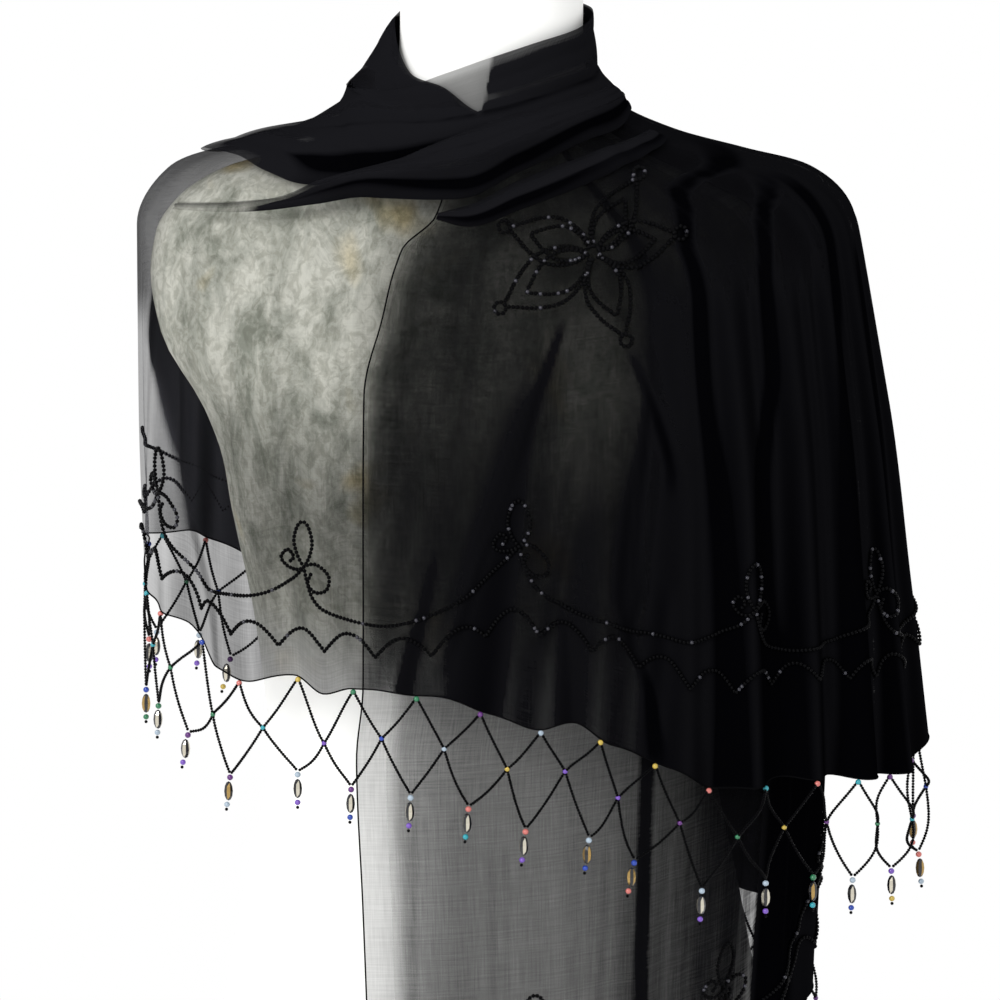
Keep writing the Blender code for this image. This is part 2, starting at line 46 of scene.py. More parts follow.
# Camera: a long lens that looks a little down, as in the photograph
view = {"lens": 420.0, "sensor": 36.0, "place": (0.005, -6.8937, 1.7165), "tilt": 80.0, "reach": 60.0}
cameraData = bpy.data.cameras.new("camera")
cameraData.lens = view["lens"]
cameraData.sensor_width = view["sensor"]
cameraData.clip_end = view["reach"]
camera = bpy.data.objects.new("camera", cameraData)
camera.location = view["place"]
camera.rotation_euler = (math.radians(view["tilt"]), 0.0, 0.0)
scene.collection.objects.link(camera)
scene.camera = camera


# Curves and the draped surface that every stretch of cloth is taken from
def smoothCurve(points, x):
    places = np.array([p[0] for p in points], dtype=float)
    values = np.array([p[1] for p in points], dtype=float)
    x = np.clip(np.asarray(x, dtype=float), places[0], places[-1])
    i = np.clip(np.searchsorted(places, x, side="left") - 1, 0, len(places) - 2)
    widths = np.diff(places)
    slopes = np.diff(values) / widths
    before = slopes[np.maximum(i - 1, 0)]
    here = slopes[i]
    after = slopes[np.minimum(i + 1, len(slopes) - 1)]
    start = meanSlope(before, here)
    end = meanSlope(here, after)
    t = (x - places[i]) / widths[i]
    return (values[i] * (1 + 2 * t) * (1 - t) ** 2 + values[i + 1] * t * t * (3 - 2 * t)
            + widths[i] * t * (1 - t) * (start * (1 - t) - end * t))


def rowCurve(rows, k, x):
    return smoothCurve([(row[0], row[k]) for row in rows], x)


def meanSlope(a, b):
    together = a * b > 0
    total = np.where(together, a + b, 1.0)
    return np.where(together, 2 * a * b / total, 0.0)


def smoothStep(low, high, x):
    t = np.clip((x - low) / (high - low), 0.0, 1.0)
    return t * t * (3 - 2 * t)


drape = {
    "zSide": (0.800, 0.765, 0.741, 0.723, 0.711, 0.699, 0.668, 0.560, 0.450, 0.330, 0.180, 0.000),
    "zFront": (0.800, 0.762, 0.736, 0.710, 0.684, 0.656, 0.614, 0.532, 0.430, 0.320, 0.180, 0.000),
    "zBack": (0.802, 0.770, 0.746, 0.726, 0.704, 0.682, 0.654, 0.560, 0.450, 0.330, 0.180, 0.000),
    "left": (0.0580, 0.0610, 0.0720, 0.1070, 0.1500, 0.1900, 0.2120, 0.2115, 0.2080, 0.2000,
             0.1960, 0.1940),
    "right": (0.0580, 0.0610, 0.0720, 0.1070, 0.1500, 0.1900, 0.2120, 0.2140, 0.2080, 0.1980,
              0.1860, 0.1820),
    "front": (0.0570, 0.0590, 0.0640, 0.0720, 0.0810, 0.0925, 0.1075, 0.1340, 0.1350, 0.1330,
              0.1300, 0.1270),
    "back": (0.0570, 0.0590, 0.0620, 0.0700, 0.0840, 0.0985, 0.1100, 0.1200, 0.1230, 0.1240,
             0.1220, 0.1200),
}
drapeCurves = {name: list(enumerate(column)) for name, column in drape.items()}
lastRow = 11.0


def drapePoint(angle, row):
    turn = np.radians(angle)
    across = np.cos(turn)
    deep = np.sin(turn)
    value = {name: smoothCurve(points, row) for name, points in drapeCurves.items()}
    right = 0.5 + 0.5 * across
    behind = 0.5 + 0.5 * deep
    x = across * (value["left"] * (1 - right) + value["right"] * right)
    y = deep * (value["front"] * (1 - behind) + value["back"] * behind)
    zMiddle = value["zFront"] * (1 - behind) + value["zBack"] * behind
    z = value["zSide"] * across ** 2 + zMiddle * deep ** 2
    return np.stack(np.broadcast_arrays(x, y, z), axis=-1)


def unit(vectors):
    return vectors / np.maximum(np.linalg.norm(vectors, axis=-1, keepdims=True), 1e-9)


# How far along a line each of its points lies, and columns of values read off at other places
def runLengths(line):
    return np.concatenate(([0.0], np.cumsum(np.linalg.norm(np.diff(line, axis=0), axis=1))))


def readAt(x, lengths, values):
    return np.stack([np.interp(x, lengths, column) for column in values.T], axis=-1)


def drapeNormal(angle, row):
    around = drapePoint(angle + 0.5, row) - drapePoint(angle - 0.5, row)
    below = drapePoint(angle, np.minimum(row + 0.05, lastRow))
    down = below - drapePoint(angle, np.maximum(row - 0.05, 0.0))
    return unit(np.cross(down, around))


def rowAt(angle, z):
    angle, z = np.broadcast_arrays(np.asarray(angle, dtype=float), np.asarray(z, dtype=float))
    high = np.zeros(angle.shape)
    low = np.full(angle.shape, lastRow)
    for _ in range(24):
        middle = (high + low) / 2
        above = drapePoint(angle, middle)[..., 2] > z
        high = np.where(above, middle, high)
        low = np.where(above, low, middle)
    return (high + low) / 2


# Hems and folds of the three stretches, as in the solid parts: angle round the form, then height
tailHem = ((246, 0.112), (270, 0.116), (290, 0.123), (318, 0.142), (335, 0.175), (350, 0.207),
           (362, 0.222), (380, 0.228))
backHem = ((20, 0.228), (45, 0.256), (70, 0.300), (90, 0.342), (115, 0.405), (138, 0.457),
           (152, 0.472), (170, 0.474), (180, 0.464))
frontHem = ((180, 0.464), (187, 0.450), (200, 0.446), (211, 0.441), (214, 0.435), (218, 0.415),
            (227, 0.411), (236, 0.417), (241.5, 0.406), (247, 0.412), (258, 0.410), (270, 0.400),
            (278, 0.390), (283, 0.394), (289, 0.381), (299, 0.366), (307, 0.353), (320, 0.357),
            (336, 0.353), (346, 0.352), (354, 0.368), (363, 0.382))
tailEdge = ((0.100, -0.072), (0.280, -0.077), (0.366, -0.080), (0.410, -0.076), (0.583, -0.075),
            (0.630, -0.064), (0.668, -0.052), (0.688, -0.032), (0.745, -0.016))
# Each fold: top angle, hem angle, start height, depth, half-width in degrees
frontFolds = ((205, 206, 0.600, 0.008, 6.0), (226, 228, 0.560, 0.006, 5.0),
              (262, 254, 0.600, 0.006, 5.0), (279, 272, 0.640, 0.009, 4.5),
              (290, 286, 0.640, 0.010, 4.5), (301, 301, 0.700, 0.014, 4.5),
              (309, 312, 0.735, 0.022, 4.0), (322, 323, 0.725, 0.020, 4.2),
              (333, 334, 0.715, 0.020, 4.0), (344, 344, 0.705, 0.018, 3.6),
              (354, 353, 0.690, 0.014, 3.4))
backFolds = ((34, 33, 0.600, 0.014, 5.0), (52, 50, 0.640, 0.012, 6.0), (74, 72, 0.660, 0.016, 6.0),
             (96, 97, 0.650, 0.012, 5.5), (117, 119, 0.640, 0.015, 6.0),
             (139, 141, 0.620, 0.010, 5.0), (160, 161, 0.620, 0.012, 5.0))
tailFolds = ((262, 261, 0.420, 0.003, 5.0), (281, 283, 0.400, 0.004, 5.0),
             (298, 297, 0.400, 0.010, 3.6), (314, 313, 0.400, 0.005, 4.5),
             (332, 333, 0.420, 0.010, 4.5), (350, 350, 0.400, 0.009, 4.5),
             (368, 368, 0.420, 0.010, 4.5))
frontFlare = ((180, 0.000), (250, 0.003), (275, 0.006), (300, 0.013), (325, 0.029), (345, 0.045),
              (363, 0.056))


def foldLift(folds, angle, z, hemZ):
    lift = 0.0
    for topAngle, hemAngle, startZ, depth, width in folds:
        reach = np.clip((startZ - z) / (startZ - hemZ), 0.0, 1.0)
        side = (angle - topAngle - (hemAngle - topAngle) * reach) / width
        lift = lift + np.where(np.abs(side) < 2.5, depth * reach ** 0.8 * np.exp(-side * side), 0.0)
    return lift


# A soft round patch: where it is strongest, and how far it reaches each way
def patch(angle, z, spot):
    atAngle, atHeight, wide, tall = spot
    return np.exp(-((angle - atAngle) / wide) ** 2 - ((z - atHeight) / tall) ** 2)


# The cloth stands up in a puff on the left shoulder
puff = {"height": 0.007, "spot": (186.0, 0.708, 26.0, 0.016)}


def puffLift(angle, z):
    return puff["height"] * patch(angle, z, puff["spot"])


# Smaller creases: top angle and height, lower angle and height, depth, half-width
frontCreases = (
    (279.0, 0.612, 261.5, 0.428, 0.0030, 1.7), (293.0, 0.620, 299.5, 0.545, 0.0022, 1.5),
    (296.0, 0.570, 292.5, 0.455, 0.0022, 1.5), (284.0, 0.560, 277.0, 0.440, 0.0018, 1.6),
    (214.0, 0.690, 209.0, 0.520, 0.0016, 1.8), (223.0, 0.680, 220.0, 0.480, 0.0012, 2.2),
    (234.0, 0.675, 238.0, 0.450, 0.0016, 2.0), (247.0, 0.665, 247.5, 0.430, 0.0014, 1.6),
    (256.0, 0.668, 252.0, 0.500, 0.0016, 1.8), (267.0, 0.672, 264.0, 0.560, 0.0016, 2.0),
    (305.0, 0.690, 305.5, 0.370, 0.0025, 1.4), (316.0, 0.700, 317.0, 0.370, 0.0030, 1.5),
    (327.5, 0.700, 328.5, 0.370, 0.0030, 1.4), (339.0, 0.690, 339.0, 0.370, 0.0026, 1.4),
    (349.0, 0.680, 349.0, 0.380, 0.0024, 1.3), (298.0, 0.480, 296.0, 0.370, 0.0022, 1.4),
    (196.0, 0.650, 194.0, 0.480, 0.0016, 2.0),
)
backCreases = (
    (43.0, 0.640, 41.0, 0.290, 0.0026, 2.2), (63.0, 0.660, 61.0, 0.310, 0.0024, 2.0),
    (85.0, 0.660, 86.0, 0.360, 0.0026, 2.4), (106.0, 0.650, 109.0, 0.420, 0.0024, 2.0),
    (128.0, 0.650, 130.0, 0.470, 0.0022, 2.2), (149.0, 0.640, 151.0, 0.490, 0.0020, 2.0),
    (170.0, 0.640, 168.0, 0.500, 0.0016, 2.0),
)
tailCreases = (
    (258.0, 0.360, 256.5, 0.130, 0.0010, 1.3), (271.0, 0.340, 272.0, 0.140, 0.0012, 1.6),
    (289.0, 0.330, 288.0, 0.140, 0.0014, 1.6), (305.0, 0.340, 305.5, 0.160, 0.0016, 1.6),
    (323.0, 0.360, 323.0, 0.190, 0.0022, 1.8), (341.0, 0.380, 341.0, 0.220, 0.0022, 1.8),
    (359.0, 0.380, 359.0, 0.240, 0.0022, 1.8),
)


def creaseLift(creases, angle, z):
    lift = 0.0
    for topAngle, topZ, lowAngle, lowZ, depth, width in creases:
        share = (topZ - z) / (topZ - lowZ)
        side = (angle - topAngle - (lowAngle - topAngle) * share) / width
        fade = smoothStep(0.0, 0.22, share) * (1 - smoothStep(0.86, 1.12, share))
        lift = lift + depth * fade * np.exp(-side * side)
    return lift


def softWaves(angle, z, seed):
    value = 0.0
    for number in range(4):
        turns = 0.16 + 0.11 * number
        slant = 9.0 - 5.0 * number
        phase = seed * 1.7 + number * 2.3
        value = value + np.sin(turns * angle + slant * z + phase) / (1.5 + number)
    return value


# The front swings out from the shoulder down, and is lifted where it crosses over the tail
swing = {"top": 0.715, "length": 0.365, "power": 1.35, "overTail": 0.0028, "crossing": (236.0, 246.0)}


def frontLift(angle, z):
    fall = np.maximum((swing["top"] - z) / swing["length"], 0.0)
    flare = smoothCurve(frontFlare, angle) * fall ** swing["power"]
    folds = foldLift(frontFolds, angle, z, smoothCurve(frontHem, angle))
    over = swing["overTail"] * smoothStep(*swing["crossing"], angle)
    return over + flare + folds + puffLift(angle, z)


def backLift(angle, z):
    return foldLift(backFolds, angle, z, smoothCurve(backHem, angle)) + puffLift(angle, z)


def tailLift(angle, z):
    return foldLift(tailFolds, angle, z, smoothCurve(tailHem, angle))


def inner(angle, start, end):
    return smoothStep(start, start + 8.0, angle) * (1 - smoothStep(end - 8.0, end, angle))


# How strong the small uneven waves are on each stretch
waveDepth = {"front": 0.0004, "back": 0.0006, "tail": 0.0003}


def frontShape(angle, z):
    waves = waveDepth["front"] * softWaves(angle, z, 1) * inner(angle, 180.0, 363.0)
    return frontLift(angle, z) + creaseLift(frontCreases, angle, z) + waves


def backShape(angle, z):
    waves = waveDepth["back"] * softWaves(angle, z, 2) * inner(angle, 20.0, 180.0)
    return backLift(angle, z) + creaseLift(backCreases, angle, z) * inner(angle, 20.0, 180.0) + waves


def tailShape(angle, z):
    waves = waveDepth["tail"] * softWaves(angle, z, 3) * inner(angle, 246.0, 380.0)
    smaller = creaseLift(tailCreases, angle, z) + waves
    return tailLift(angle, z) + smaller * (1 - smoothStep(372.0, 380.0, angle))


def tailStart(z):
    reach = smoothCurve(drapeCurves["left"], rowAt(255.0, z))
    return 360.0 - np.degrees(np.arccos(smoothCurve(tailEdge, z) / reach))


# Materials
def setInputs(node, values):
    for name, value in values.items():
        node.inputs[name].default_value = value


def newMaterial(name, color, roughness, specular=0.5, metallic=0.0):
    material = bpy.data.materials.new(name)
    material.use_nodes = True
    shader = material.node_tree.nodes["Principled BSDF"]
    setInputs(shader, {"Base Color": (*color, 1.0), "Roughness": roughness,
                       "Specular IOR Level": specular, "Metallic": metallic})
    return material, shader


def mathNode(nodes, links, operation, first, second):
    node = nodes.new("ShaderNodeMath")
    node.operation = operation
    for socket, value in zip(node.inputs, (first, second)):
        if isinstance(value, (int, float)):
            socket.default_value = value
        else:
            links.new(value, socket)
    return node.outputs[0]


# Voile: how much of it is thread is worked from the piece's density and from uneven threads.
# Where the cloth is denser its colour is darkened too: painted shade in its folds and pleats
weave = {"scales": ((1150.0, 45.0, 1.0), (38.0, 1050.0, 1.0)), "shadeFrom": 3.2, "shadeTo": 6.0,
         "deepestShade": (0.0008, 0.0008, 0.0012, 1.0), "blue": 1.2}


def makeVoile(name, wallAlpha, slub, tone):
    color = (tone, tone, tone * weave["blue"])
    material, shader = newMaterial(name, color, 0.9, 0.0)
    nodes = material.node_tree.nodes
    links = material.node_tree.links
    uvMap = nodes.new("ShaderNodeUVMap")
    uvMap.uv_map = "cloth"
    total = None
    for scale in weave["scales"]:
        stretched = nodes.new("ShaderNodeMapping")
        setInputs(stretched, {"Scale": scale})
        links.new(uvMap.outputs["UV"], stretched.inputs["Vector"])
        threads = nodes.new("ShaderNodeTexNoise")
        threads.noise_dimensions = "2D"
        setInputs(threads, {"Scale": 1.0, "Detail": 1.0})
        links.new(stretched.outputs["Vector"], threads.inputs["Vector"])
        value = threads.outputs["Fac"]
        total = value if total is None else mathNode(nodes, links, "ADD", total, value)
    uneven = mathNode(nodes, links, "MULTIPLY", mathNode(nodes, links, "SUBTRACT", total, 1.0), slub)
    densityAndShade = nodes.new("ShaderNodeAttribute")
    densityAndShade.attribute_name = "layers_and_shade"
    # Painted shade: the colour goes from the cloth's own tone to near black as the density rises
    shadeAmount = nodes.new("ShaderNodeMapRange")
    setInputs(shadeAmount, {"From Min": weave["shadeFrom"], "From Max": weave["shadeTo"]})
    links.new(densityAndShade.outputs["Fac"], shadeAmount.inputs["Value"])
    tones = nodes.new("ShaderNodeValToRGB")
    tones.color_ramp.elements[0].color = (*color, 1.0)
    tones.color_ramp.elements[1].color = weave["deepestShade"]
    links.new(shadeAmount.outputs["Result"], tones.inputs["Fac"])
    links.new(tones.outputs["Color"], shader.inputs["Base Color"])
    factor = mathNode(nodes, links, "ADD", uneven, 1.0)
    thick = mathNode(nodes, links, "MULTIPLY", densityAndShade.outputs["Fac"], wallAlpha)
    alpha = mathNode(nodes, links, "MINIMUM", mathNode(nodes, links, "MULTIPLY", factor, thick), 1.0)
    links.new(alpha, shader.inputs["Alpha"])
    return material


voile = makeVoile("voile", wallAlpha=0.34, slub=0.16, tone=0.0036)
backVoile = makeVoile("back_voile", wallAlpha=0.34, slub=0.12, tone=0.085)
tailVoile = makeVoile("tail_voile", wallAlpha=0.37, slub=0.42, tone=0.0036)
gatheredVoile = makeVoile("gathered_voile", wallAlpha=0.90, slub=0.1, tone=0.0068)
hemVoile, _ = newMaterial("rolled_hem", (0.0028, 0.0028, 0.0032), 0.9, 0.0)
blackBead, _ = newMaterial("black_bead", (0.0012, 0.0012, 0.0016), 0.35, 0.04)
glintBead, _ = newMaterial("glint_bead", (0.022, 0.022, 0.030), 0.20, 0.45)
beadColors = (
    ("blue", (0.010, 0.045, 0.33)), ("turquoise", (0.02, 0.30, 0.36)), ("violet", (0.16, 0.07, 0.42)),
    ("purple", (0.10, 0.02, 0.16)), ("green", (0.02, 0.16, 0.07)), ("coral", (0.55, 0.15, 0.13)),
    ("yellow", (0.50, 0.36, 0.06)), ("pearl", (0.34, 0.42, 0.50)),
)
colorBeads = [newMaterial("bead_" + name, color, 0.16, 0.6)[0] for name, color in beadColors]
dropBlack, _ = newMaterial("drop_black", (0.008, 0.008, 0.010), 0.10, 0.6)
dropSilver, _ = newMaterial("drop_silver", (0.62, 0.58, 0.48), 0.22, 0.5, 0.9)
dropGold, _ = newMaterial("drop_gold", (0.42, 0.28, 0.10), 0.25, 0.5, 0.9)

formWhite = (0.93, 0.93, 0.91)
formCover, formShader = newMaterial("form_cover", formWhite, 0.85, 0.2)
formNodes = formCover.node_tree.nodes
formLinks = formCover.node_tree.links
formCoords = formNodes.new("ShaderNodeTexCoord")


def formNoise(stretch, scale, detail, roughness, distortion):
    stretched = formNodes.new("ShaderNodeMapping")
    setInputs(stretched, {"Scale": stretch})
    formLinks.new(formCoords.outputs["Object"], stretched.inputs["Vector"])
    texture = formNodes.new("ShaderNodeTexNoise")
    setInputs(texture, {"Scale": scale, "Detail": detail, "Roughness": roughness,
                        "Distortion": distortion})
    formLinks.new(stretched.outputs["Vector"], texture.inputs["Vector"])
    return texture.outputs["Fac"]


def formRamp(value, low, lowColor, high, highColor):
    ramp = formNodes.new("ShaderNodeValToRGB")
    stops = zip(ramp.color_ramp.elements, (low, high), (lowColor, highColor))
    for element, position, color in stops:
        element.position = position
        element.color = (*color, 1.0)
    formLinks.new(value, ramp.inputs["Fac"])
    return ramp.outputs["Color"]


def formBlend(kind, factor, first, second):
    blend = formNodes.new("ShaderNodeMix")
    blend.data_type = "RGBA"
    blend.blend_type = kind
    for socket, value in ((blend.inputs[0], factor), (blend.inputs[6], first), (blend.inputs[7], second)):
        if isinstance(value, float):
            socket.default_value = value
        elif isinstance(value, tuple):
            socket.default_value = (*value, 1.0)
        else:
            formLinks.new(value, socket)
    return blend.outputs[2]


# The cover is white, and worn and mottled on the chest and shoulders. Each kind of wear has its
# stretch, scale, detail, roughness and distortion, then a low and a high place with their colours
wear = {
    "smudges": (((1.0, 1.0, 0.45), 34.0, 6.0, 0.68, 0.5), 0.37, (0.42, 0.44, 0.37), 0.58,
                (1.0, 1.0, 0.89)),
    "crackle": (((1.0, 1.0, 0.8), 150.0, 3.0, 0.6, 1.2), 0.40, (0.76, 0.76, 0.74), 0.56,
                (1.0, 1.0, 1.0)),
    "stains": (((1.0, 1.0, 0.8), 17.0, 2.0, 0.5, 0.3), 0.60, (1.0, 1.0, 1.0), 0.72,
               (1.0, 0.86, 0.60)),
    "heights": ((0.400, 0.0), (0.450, 1.0), (0.722, 1.0), (0.745, 0.0)),
}
smudges, crackle, stains = (formRamp(formNoise(*wear[kind][0]), *wear[kind][1:])
                            for kind in ("smudges", "crackle", "stains"))
worn = formBlend("MULTIPLY", 1.0, formBlend("MULTIPLY", 1.0, smudges, crackle), stains)
formHeight = formNodes.new("ShaderNodeSeparateXYZ")
formLinks.new(formCoords.outputs["Object"], formHeight.inputs["Vector"])
wornPlace = formNodes.new("ShaderNodeValToRGB")
first, *between, last = wear["heights"]
for element, (height, amount) in zip(wornPlace.color_ramp.elements, (first, last)):
    element.position = height
    element.color = (amount, amount, amount, 1.0)
for height, amount in between:
    wornPlace.color_ramp.elements.new(height).color = (amount, amount, amount, 1.0)
formLinks.new(formHeight.outputs["Z"], wornPlace.inputs["Fac"])
formColor = formBlend("MIX", wornPlace.outputs["Color"], formWhite, worn)
formLinks.new(formColor, formShader.inputs["Base Color"])


# Meshes
def takeMesh(bm, name):
    mesh = bpy.data.meshes.new(name)
    bm.to_mesh(mesh)
    bm.free()
    return mesh


def addObject(name, mesh, materials):
    for material in materials:
        mesh.materials.append(material)
    thing = bpy.data.objects.new(name, mesh)
    scene.collection.objects.link(thing)
    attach(thing, "root")
    return thing


def gridMesh(name, points, uv, densityAndShade, material):
    columns, rows = points.shape[:2]
    bm = bmesh.new()
    bmesh.ops.create_grid(bm, x_segments=rows - 1, y_segments=columns - 1, size=0.5)
    mesh = takeMesh(bm, name)
    flat = np.empty(len(mesh.vertices) * 3)
    mesh.vertices.foreach_get("co", flat)
    flat = flat.reshape(-1, 3)
    r = np.rint((flat[:, 0] + 0.5) * (rows - 1)).astype(int)
    c = np.rint((flat[:, 1] + 0.5) * (columns - 1)).astype(int)
    mesh.vertices.foreach_set("co", points[c, r].ravel())
    corners = np.empty(len(mesh.loops), dtype=np.int32)
    mesh.loops.foreach_get("vertex_index", corners)
    layer = mesh.uv_layers.new(name="cloth")
    layer.data.foreach_set("uv", uv[c, r][corners].ravel())
    # How dense the cloth is at each point, with the painted shade added into it
    layersAndShade = mesh.attributes.new("layers_and_shade", "FLOAT", "POINT")
    layersAndShade.data.foreach_set("value", densityAndShade[c, r].ravel())
    mesh.shade_smooth()
    mesh.update()
    sides = np.cross(np.diff(points, axis=0)[:, :-1], np.diff(points, axis=1)[:-1])
    print(name, "area", round(float(np.linalg.norm(sides, axis=-1).sum()), 4))
    return addObject(name, mesh, [material])


def gridNormals(points):
    return unit(np.cross(np.gradient(points, axis=1), np.gradient(points, axis=0)))


# Each stretch: where it starts and ends round the form, its columns and rows, how its rows crowd
# towards the shoulder, and the row of the draped surface that its upper edge lies on
cloths = {
    name: {"start": start, "end": end, "columns": columns, "rows": 110, "crowd": 1.15, "topRow": 2.1}
    for name, start, end, columns in (("front", 180.0, 363.0, 280), ("back", 20.0, 180.0, 230),
                                      ("tail", 248.0, 380.0, 200), ("tailInner", 256.0, 320.0, 110))
}
# The hem: one cell of the net along it, how far it dips at each cell, and its rolled edge
hemEdge = {"cell": 0.040, "dip": 0.0012, "dipReach": 0.012, "radius": 0.0005, "sides": 6}


# How many degrees the tail's inner layer starts inside its plain edge
def innerStart(z):
    return 5.2 - 4.4 * smoothStep(0.400, 0.450, z)


def hemShares(start, end, hemLine, lift, count):
    angle = np.linspace(start, end, 801)
    z = smoothCurve(hemLine, angle)
    row = rowAt(angle, z)
    points = drapePoint(angle, row) + drapeNormal(angle, row) * lift(angle, z)[:, None]
    lengths = runLengths(points)
    return np.interp(np.linspace(0.0, lengths[-1], count + 1), lengths, np.linspace(0.0, 1.0, 801))


def respace(samples, rows, crowd):
    lengths = runLengths(samples[:, :3])
    target = lengths[-1] * np.linspace(0.0, 1.0, rows) ** crowd
    return readAt(target, lengths, samples), lengths[-1]


def makeCloth(name, hemLine, solidLift, shape, densityAndShadeAt, slanted=False, folded=False, lower=0.0):
    plan = cloths[name]
    shares = hemShares(plan["start"], plan["end"], hemLine, solidLift, plan["columns"])
    hemAngle = plan["start"] + (plan["end"] - plan["start"]) * shares
    hemZ = smoothCurve(hemLine, hemAngle)
    steps = np.linspace(0.0, 1.0, 241)[None, :]

    def angleAt(z):
        if not slanted:
            return np.broadcast_to(hemAngle[:, None], z.shape)
        edge = tailStart(z) + (innerStart(z) if folded else 0.0)
        return edge + (plan["end"] - edge) * shares[:, None]

    bottomAngle = angleAt(hemZ[:, None])[:, 0]
    bottomRow = rowAt(bottomAngle, hemZ)
    row = plan["topRow"] + (bottomRow[:, None] - plan["topRow"]) * steps
    firstAngle = angleAt(np.full(row.shape, 0.5))
    angle = angleAt(drapePoint(firstAngle, row)[..., 2])
    base = drapePoint(angle, row)
    lift = shape(angle, base[..., 2]) + lower
    points = base + drapeNormal(angle, row) * lift[..., None]
    slope = np.abs(np.gradient(lift, axis=0)) / np.maximum(
        np.linalg.norm(np.gradient(base, axis=0), axis=-1), 1e-6)
    densityAndShade = densityAndShadeAt(angle, base[..., 2]) * (1 + 0.9 * np.minimum(slope, 1.3))
    samples = np.concatenate((points, densityAndShade[..., None]), axis=-1)
    spaced = [respace(column, plan["rows"], plan["crowd"]) for column in samples]
    grid = np.stack([column for column, _ in spaced])
    heights = np.array([length for _, length in spaced])
    points = grid[..., :3]
    along = runLengths(points[:, -1])
    above = heights[:, None] * (1 - np.linspace(0.0, 1.0, plan["rows"]) ** plan["crowd"])[None, :]
    if not folded:
        cells = round(along[-1] / hemEdge["cell"])
        wave = 0.5 - 0.5 * np.cos(2 * np.pi * along * cells / along[-1])
        points[..., 2] -= hemEdge["dip"] * wave[:, None] * np.exp(-above / hemEdge["dipReach"])
    plan.update(points=points, normals=gridNormals(points), heights=heights, length=along[-1])
    uv = np.stack((np.broadcast_to(along[:, None], above.shape), above), axis=-1)
    print(name, "hem", round(along[-1], 3), "height", round(heights.mean(), 3))
    return points, uv, grid[..., 3]


def onCloth(name, along, above, lift):
    plan = cloths[name]
    c = np.clip(np.asarray(along, float) / plan["length"], 0.0, 1.0) * plan["columns"]
    height = np.interp(c, np.arange(plan["columns"] + 1), plan["heights"])
    share = np.clip(1 - np.asarray(above, float) / height, 0.0, 1.0) ** (1 / plan["crowd"])
    r = share * (plan["rows"] - 1)
    c0 = np.minimum(c.astype(int), plan["columns"] - 1)
    r0 = np.minimum(r.astype(int), plan["rows"] - 2)
    cPart = (c - c0)[:, None]
    rPart = (r - r0)[:, None]

    def blend(values):
        top = values[c0, r0] * (1 - cPart) + values[c0 + 1, r0] * cPart
        low = values[c0, r0 + 1] * (1 - cPart) + values[c0 + 1, r0 + 1] * cPart
        return top * (1 - rPart) + low * rPart

    return blend(plan["points"]) + unit(blend(plan["normals"])) * lift


# A capped tube of unit radius with its rings one apart, to be bent into shape ring by ring
def addTube(bm, sides, rings):
    older, length = len(bm.verts), rings - 1
    bmesh.ops.create_cone(bm, cap_ends=True, segments=sides, radius1=1.0, radius2=1.0, depth=length)
    upright = [edge for edge in bm.edges
               if abs(edge.verts[0].co.z - edge.verts[1].co.z) > length / 2]
    bmesh.ops.subdivide_edges(bm, edges=upright, cuts=rings - 2)
    return [(vertex, round(vertex.co.z + length / 2)) for vertex in list(bm.verts)[older:]]


def tubeMesh(name, lines, radius, sides, material):
    bm = bmesh.new()
    for line in lines:
        tangent = unit(np.gradient(line, axis=0))
        side = unit(np.cross(tangent, np.broadcast_to((0.0, 0.3, 1.0), tangent.shape)))
        other = np.cross(side, tangent)
        for vertex, n in addTube(bm, sides, len(line)):
            vertex.co = line[n] + radius * (vertex.co.y * side[n] + vertex.co.x * other[n])
    mesh = takeMesh(bm, name)
    mesh.shade_smooth()
    return addObject(name, mesh, [material])


beadShapes = {"seed": None, "round": (10, 6), "oval": (8, 6)}


def baseShape(kind):
    bm = bmesh.new()
    if beadShapes[kind] is None:
        bmesh.ops.create_icosphere(bm, subdivisions=1, radius=0.5)
    else:
        around, upright = beadShapes[kind]
        bmesh.ops.create_uvsphere(bm, u_segments=around, v_segments=upright, radius=0.5)
    bmesh.ops.triangulate(bm, faces=bm.faces)
    vertices = np.array([v.co[:] for v in bm.verts])
    faces = np.array([[v.index for v in f.verts] for f in bm.faces])
    bm.free()
    return vertices, faces


shapes = {kind: baseShape(kind) for kind in beadShapes}


# One mesh of many small beads. Each group: shape, places, sizes, material number, smooth
def beadMesh(name, groups, materials):
    allVertices, allFaces, allMaterials, allSmooth = [], [], [], []
    offset = 0
    for kind, places, sizes, slots, smooth in groups:
        vertices, faces = shapes[kind]
        places = np.asarray(places, float)
        count = len(places)
        sizes = np.broadcast_to(np.asarray(sizes, float), (count, 3))
        turn = noise.uniform(0.0, 2 * math.pi, count)
        cos, sin = np.cos(turn)[:, None], np.sin(turn)[:, None]
        x = vertices[None, :, 0] * cos - vertices[None, :, 1] * sin
        y = vertices[None, :, 0] * sin + vertices[None, :, 1] * cos
        z = np.broadcast_to(vertices[None, :, 2], x.shape)
        turned = np.stack((x, y, z), axis=-1) * sizes[:, None, :] + places[:, None, :]
        allVertices.append(turned.reshape(-1, 3))
        numbers = faces[None] + (offset + np.arange(count) * len(vertices))[:, None, None]
        allFaces.append(numbers.reshape(-1, 3))
        slots = np.broadcast_to(np.asarray(slots), (count,))
        allMaterials.append(np.repeat(slots, len(faces)))
        allSmooth.append(np.full(count * len(faces), smooth))
        offset += count * len(vertices)
    vertices = np.concatenate(allVertices)
    faces = np.concatenate(allFaces)
    mesh = bpy.data.meshes.new(name)
    mesh.from_pydata(vertices.tolist(), [], faces.tolist())
    mesh.polygons.foreach_set("material_index", np.concatenate(allMaterials).astype(np.int32))
    mesh.polygons.foreach_set("use_smooth", np.concatenate(allSmooth))
    mesh.update()
    return addObject(name, mesh, materials)


